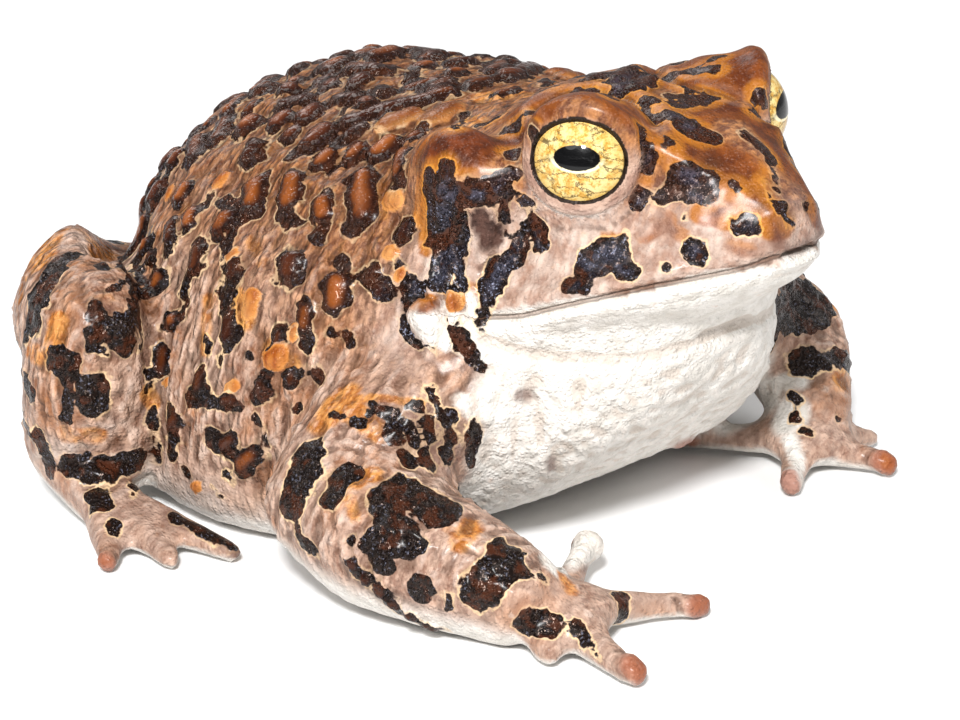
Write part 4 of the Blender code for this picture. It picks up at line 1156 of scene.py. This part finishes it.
def edged_colour(node, field, colour, place, medium, slit):
    """The colour with the pale margin of the lid, its dark edge and painted shade along the slit of the
    mouth.
    """
    lid = field["lid"]
    below = node("SPLIT", place, output="Z")
    margin = node("MULTIPLY", node("SMOOTH", lid, 1.4, 0.8),
                  node("SMOOTH", below, NEAR_EYE.z + 2.4 * MM, NEAR_EYE.z))
    margin = node("MULTIPLY", margin, 0.85)
    colour = node("MIX", margin, colour, node("MIX", node("SMOOTH", medium, 0.4, 0.6), "#9C7C6E", "#BFA08E"))
    colour = node("MIX", node("SMOOTH", lid, 0.09, 0.02), colour, "#120A07")
    # Painted shade along the slit of the mouth.
    colour = node("MIX", node("MULTIPLY", slit, 0.5), colour, "#6E5040")
    return colour


def fine_relief(node, field, place, black, crest, streak, granule, brown_top, slit):
    """The height of wrinkles and grains too fine for the mesh."""
    cream, head, gland = (field[name] for name in ("cream", "head", "gland"))
    wrinkle = node("NOISE", place, PER_MM / 0.8, 3.0, 0.65)
    height = node("ADD", node("MULTIPLY", wrinkle, 0.6),
                  node("MULTIPLY", crest,
                       node("ADD", node("MULTIPLY", black, node("ADD", 0.40, node("MULTIPLY", head, 0.5))),
                            0.20)))
    pebbles = node("CELLS", place, PER_MM / 1.1)
    beaded = node("MULTIPLY", node("SMOOTH", pebbles, 0.75, 0.1), cream)
    smooth_head = node("SUBTRACT", 1.0, node("MULTIPLY", field["calm"], 0.8))
    smooth_head = node("MULTIPLY", smooth_head, node("SUBTRACT", 1.0, node("MULTIPLY", cream, 0.8)))
    smooth_head = node("MULTIPLY", smooth_head, node("SMOOTH", gland, 0.25, 0.0))
    for grains, share in ((streak, 0.5), (granule, 1.1)):
        height = node("ADD", height, node("MULTIPLY", node("MULTIPLY", grains, share), smooth_head))
    height = node("ADD", height, node("MULTIPLY", beaded, 0.5))
    height = node("SUBTRACT", height, node("MULTIPLY", slit, 1.2))
    height = node("MULTIPLY", height, node("SUBTRACT", 1.0, node("MULTIPLY", brown_top, 0.75)))
    height = node("ADD", height, node("MULTIPLY", black, 0.15))
    return height


def moist_toad_skin():
    """Moist toad skin: matt tan ground with painted shade and highlights on its relief, glossy blotches and
    glands with pale rims, fine grains with painted glints.
    """
    material, tree, shader = blank_material("moist_toad_skin", {
        "IOR": 1.36, "Specular Tint": (1.0, 0.74, 0.62, 1.0), "Coat Weight": 0.14, "Coat Roughness": 0.20})
    node = partial(add_node, tree)
    field = {name: node("FIELD", attribute_name=name) for name in SKIN_FIELDS}
    place = node("PLACE")
    mark, amber, wart, brown, head, gland = (field[name] for name in (
        "mark", "amber", "wart", "brown", "head", "gland"))
    medium = node("NOISE", place, PER_MM / 1.6, 3.0, 0.6)
    broad = node("NOISE", place, PER_MM / 5.0, 3.0)
    patch = node("NOISE", place, PER_MM / 7.0, 2.0, 0.6)

    # Streaks and granules drawn out down the body, and the grain of the black.
    sway = node("NOISE", place, PER_MM / 1.2, 2.0, output="Color")
    shrunk = node("SCALE", sway, 0.30 * MM)
    bent = node("SHIFT", node("STRETCH", place, (1.0, 0.55, 0.40)), shrunk)
    streak = node("NOISE", bent, PER_MM / 0.50, 3.0, 0.62)
    granule = node("SMOOTH", node("CELLS", bent, PER_MM / 0.62), 0.72, 0.15)
    grain = node("CELLS", node("SHIFT", place, shrunk), PER_MM / 0.32)
    crest = node("SMOOTH", grain, 0.62, 0.12)

    # Black blotches with ragged edges, and the pale rims round them.
    wander = node("MULTIPLY", node("SUBTRACT", node("NOISE", place, PER_MM / 1.3, 2.5, 0.5), 0.5), 1.5)
    edge = node("ADD", mark, wander)
    black = node("SMOOTH", edge, -0.06, 0.03)
    rim = node("MULTIPLY", node("SMOOTH", edge, -0.26, -0.11), node("SUBTRACT", 1.0, black))
    rim = node("MULTIPLY", rim, node("SUBTRACT", 1.0, node("MULTIPLY", brown, 0.45)))
    rim = node("MULTIPLY", rim, node("SUBTRACT", 1.0, field["drum"]))

    # The brown tops of the warts, and the slit of the mouth.
    brown_top = node("SMOOTH", node("ADD", wart, node("MULTIPLY", medium, 0.16)), 0.18, 0.50)
    slit = node("SMOOTH", node("ABSOLUTE", field["mouth"]), 0.24, 0.06)

    ground = tan_ground(node, field, medium, broad, patch, streak, granule)
    ground = marked_ground(node, field, ground, rim, medium, broad, streak, granule)
    dark = black_skin(node, field, medium, patch, brown_top, place)
    colour = edged_colour(node, field, node("MIX", black, ground, dark), place, medium, slit)
    tree.links.new(colour, shader.inputs["Base Color"])

    # Black, orange and glands shine most.
    gloss = node("MULTIPLY", node("MAXIMUM", black, node("MULTIPLY", amber, 0.4)), 0.24)
    gloss = node("ADD", gloss, node("MULTIPLY", gland, 0.14))
    gloss = node("ADD", gloss, node("MULTIPLY", node("MULTIPLY", brown_top, black), 0.07))
    dull = node("ADD", node("MULTIPLY", medium, 0.25), 0.33)
    dull = node("ADD", dull, node("MULTIPLY", head, 0.08))
    tree.links.new(node("SUBTRACT", dull, gloss), shader.inputs["Roughness"])

    height = fine_relief(node, field, place, black, crest, streak, granule, brown_top, slit)
    tree.links.new(node("BUMP", height, 1.0, 0.28 * MM), shader.inputs["Normal"])
    return material


# In millimetres on the iris map: the pupil's middle, and how far aside the back of the eye lies, past the
# dark rim. Then how far the cornea stands out.
PUPIL_SHIFT = (0.10, 0.28)
BACK_SHIFT = 20.0
CORNEA_BULGE = 0.10 * MM


def wet_gold_eye():
    """A toad's eye behind its wet cornea: gold iris netted with dark veins, a level black pupil."""
    material, tree, shader = blank_material("wet_gold_eye", {
        "Roughness": 0.25, "IOR": 1.376, "Specular IOR Level": 0.1, "Coat Weight": 0.75, "Coat IOR": 1.376,
        "Coat Roughness": 0.02})
    node = partial(add_node, tree)
    uv = node("UV", uv_map="IrisMap")
    across, rise = node("SPLIT", uv, output="X"), node("SPLIT", uv, output="Y")

    def squared(value, size):
        scaled = node("DIVIDE", value, size)
        return node("MULTIPLY", scaled, scaled)

    def oval(width, height):
        return node("SQRT", node("ADD", squared(across, width), squared(rise, height)))

    reach = oval(1.0, 1.0)
    pupil = node("SQRT",
                 node("ADD", squared(node("SUBTRACT", across, PUPIL_SHIFT[0]), 1.72),
                      squared(node("SUBTRACT", rise, PUPIL_SHIFT[1]), 0.93)))
    lift = node("NOISE", uv, 1.3, 4.0, 0.6)
    fleck = node("NOISE", uv, 6.0, 6.0, 0.7)
    ragged_way = node("NOISE", uv, 2.4, 5.0, 0.75)
    stretch = node("TIMES", ragged_way.node.outputs["Color"], (1.3, 1.3, 0.0))
    level = node("TIMES", uv, (0.50, 1.35, 0.0))
    warp = node("SHIFT", level, stretch)
    veins = node("EDGES", warp, 0.66)
    small = node("EDGES", warp, 1.9)
    gold = node("MIX", node("SMOOTH", fleck, 0.38, 0.60), "#AC7E2A", "#E4C270")
    gold = node("MIX", node("MULTIPLY", node("SMOOTH", lift, 0.50, 0.38), 0.55), gold, "#C08632")
    gold = node("MIX", node("MULTIPLY", node("SMOOTH", lift, 0.42, 0.60), 0.6), gold, "#F1E2A6")
    gold = node("MIX", node("MULTIPLY", node("SMOOTH", reach, 2.3, 3.2), 0.6), gold, "#D8B062")
    height = node("SUBTRACT", rise, PUPIL_SHIFT[1] - 0.45)
    band = node("SMOOTH", node("ABSOLUTE", height), 1.7, 0.5)
    broken = node("SMOOTH", lift, 0.36, 0.50)
    vein = node("MULTIPLY", node("SMOOTH", veins, 0.050, 0.015), broken)
    fine = node("MULTIPLY", node("SMOOTH", small, 0.065, 0.02), band)
    fine = node("MULTIPLY", fine, node("SMOOTH", ragged_way, 0.46, 0.56))
    corner = node("MULTIPLY", node("SMOOTH", oval(1.0, 0.13), 3.4, 2.0), node("SMOOTH", pupil, 1.9, 1.1))
    corner = node("MULTIPLY", corner, node("SMOOTH", fleck, 0.42, 0.52))
    net = node("MAXIMUM", node("MAXIMUM", vein, fine), node("MULTIPLY", corner, 0.8))
    iris = node("MIX", node("MULTIPLY", net, 0.82), gold, "#2E1B0C")
    halo = node("MULTIPLY", node("SMOOTH", pupil, 1.24, 1.12), node("SMOOTH", rise, 0.45, -0.25))
    halo = node("MULTIPLY", halo, node("SMOOTH", lift, 0.30, 0.45))
    iris = node("MIX", node("MULTIPLY", halo, 0.85), iris, "#F7EFC8")
    uneven = node("ADD", node("MULTIPLY", ragged_way, 0.22), -0.06)
    iris = node("MIX", node("SMOOTH", node("ADD", pupil, uneven), 1.07, 1.02), iris, "#030304")
    ragged = node("ADD", reach, node("MULTIPLY", fleck, 0.12))
    iris = node("MIX", node("SMOOTH", ragged, 3.30, 3.42), iris, "#0D0806")
    tree.links.new(iris, shader.inputs["Base Color"])
    tree.links.new(node("BUMP", node("SUBTRACT", fleck, vein), 0.25, 0.05 * MM), shader.inputs["Normal"])
    return material


def build_eye(node, side, material):
    """An eyeball whose pole is at its pupil, with the iris drawn on a flat map in millimetres."""
    centre = NEAR_EYE if side < 0 else FAR_EYE
    look, along, up = eye_axes(side)
    bm = bmesh.new()
    turn = Matrix((along, up, look)).transposed().to_4x4()
    bmesh.ops.create_uvsphere(bm, u_segments=96, v_segments=64, radius=EYE_RADIUS,
                              matrix=Matrix.Translation(centre) @ turn)
    for vert in bm.verts:
        out = vert.co - centre
        front = max(out.dot(look) / EYE_RADIUS, 0.0)
        vert.co += look * (CORNEA_BULGE * float(smooth_step(front, 0.72, 1.0)))
    layer = bm.loops.layers.uv.new("IrisMap")
    if side > 0:
        turned = Matrix.Rotation(FAR_EYE_TURN, 3, "Z")
        look, along = turned @ look, turned @ along
    for face in bm.faces:
        for loop in face.loops:
            out = (loop.vert.co - centre) / MM
            behind = BACK_SHIFT if out.dot(look) < 0 else 0.0
            loop[layer].uv = (out.dot(along) + behind, out.dot(up))
    mesh = to_mesh(bm, f"toad_{node}")
    mesh.shade_smooth()
    mesh.materials.append(material)
    return new_object(f"toad_{node}", mesh)


class ToadSettings(bpy.types.PropertyGroup):
    voxel: FloatProperty(name="Skin mesh size", description="Edge length of the skin's mesh",
                         default=0.435 * MM, subtype="DISTANCE", unit="LENGTH")
    wart_height: FloatProperty(name="Wart height", description="Height of a wart as a share of its radius",
                               default=0.66, subtype="FACTOR")
    floor_colour: FloatVectorProperty(name="Floor colour", description="Colour of the pale floor", size=4,
                                      subtype="COLOR", default=(0.88, 0.88, 0.88, 1.0))


class TOAD_OT_skin(bpy.types.Operator):
    """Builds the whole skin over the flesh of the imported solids"""
    bl_idname = "toad.skin"
    bl_label = "Build skin"

    def execute(self, context):
        skin = build_skin(context.scene.toad_settings)
        skin.data.materials.append(moist_toad_skin())
        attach(skin, BODY)
        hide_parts(*FLESH_NODES)
        return {"FINISHED"}


class TOAD_OT_eyes(bpy.types.Operator):
    """Builds both eyeballs"""
    bl_idname = "toad.eyes"
    bl_label = "Build eyes"

    def execute(self, context):
        material = wet_gold_eye()
        for node, side in (("eye_right", -1.0), ("eye_left", 1.0)):
            eye = build_eye(node, side, material)
            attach(eye, BODY)
            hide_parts(node)
        return {"FINISHED"}


# Soft lamps: name, the way they stand from the toad, distance, width and power.
LAMPS = (
    ("key_lamp", (0.55, -0.66, 0.69), 0.6, 0.09, 4.7),
    ("side_lamp", (0.1, -1.0, 0.9), 0.7, 0.35, 1.2),
    ("far_lamp", (0.6, 0.9, 0.8), 0.8, 0.4, 1.6),
    ("back_lamp", (-1.0, 0.3, 0.9), 0.8, 0.4, 1.6),
)
LAMP_AIM = Vector((0.0, 0.0, 0.02))
WORLD_LIGHT = 0.30
FLOOR_HALF_WIDTH = 3.0


class TOAD_OT_stage(bpy.types.Operator):
    """Sets the pale floor, the soft lights and the camera at the photograph's viewing angle"""
    bl_idname = "toad.stage"
    bl_label = "Set the stage"

    def execute(self, context):
        scene = context.scene
        # Matt pale card: it shows soft shadows and no glare.
        floor_material = blank_material("matt_pale_floor", {
            "Base Color": scene.toad_settings.floor_colour, "Roughness": 0.8})[0]
        bm = bmesh.new()
        bmesh.ops.create_grid(bm, x_segments=1, y_segments=1, size=FLOOR_HALF_WIDTH)
        floor = new_object("floor", to_mesh(bm, "floor"))
        floor.data.materials.append(floor_material)
        camera_data = bpy.data.cameras.new("photo_camera")
        camera_data.sensor_width = SENSOR_WIDTH
        camera_data.lens = SENSOR_WIDTH * CAMERA_FOCUS_PIXELS / PHOTO_WIDTH
        camera_data.clip_start = 0.01
        camera = new_object("photo_camera", camera_data)
        camera.matrix_world = Matrix.Translation(CAMERA_PLACE) @ Matrix(
            (CAMERA_RIGHT, CAMERA_UP, CAMERA_BACK)).transposed().to_4x4()
        scene.camera = camera
        for name, way, distance, size, power in LAMPS:
            lamp_data = bpy.data.lights.new(name, "AREA")
            lamp_data.shape = "DISK"
            lamp_data.size = size
            lamp_data.energy = power
            lamp = new_object(name, lamp_data)
            aim = Vector(way).normalized()
            spot = LAMP_AIM + aim * distance
            lamp.matrix_world = Matrix.Translation(spot) @ aim.to_track_quat("Z", "Y").to_matrix().to_4x4()
        world = scene.world or bpy.data.worlds.new("studio")
        scene.world = world
        world.use_nodes = True
        background = world.node_tree.nodes["Background"]
        background.inputs["Color"].default_value = (1.0, 1.0, 1.0, 1.0)
        background.inputs["Strength"].default_value = WORLD_LIGHT
        scene.view_settings.view_transform = "Standard"
        return {"FINISHED"}


class TOAD_PT_panel(bpy.types.Panel):
    """Lists the toad's steps"""
    bl_idname = "TOAD_PT_panel"
    bl_label = "Yosemite toad"
    bl_space_type = "VIEW_3D"
    bl_region_type = "UI"
    bl_category = "Toad"

    def draw(self, context):
        settings = context.scene.toad_settings
        for name in ("voxel", "wart_height", "floor_colour"):
            self.layout.prop(settings, name)
        for operator in STEPS:
            self.layout.operator(operator.bl_idname)


STEPS = (TOAD_OT_skin, TOAD_OT_eyes, TOAD_OT_stage)
CLASSES = (ToadSettings,) + STEPS + (TOAD_PT_panel,)


def register():
    for cls in CLASSES:
        bpy.utils.register_class(cls)
    bpy.types.Scene.toad_settings = PointerProperty(type=ToadSettings)


def unregister():
    del bpy.types.Scene.toad_settings
    for cls in reversed(CLASSES):
        bpy.utils.unregister_class(cls)


def main():
    register()
    bpy.ops.toad.skin()
    bpy.ops.toad.eyes()
    bpy.ops.toad.stage()


if __name__ == "__main__":
    main()
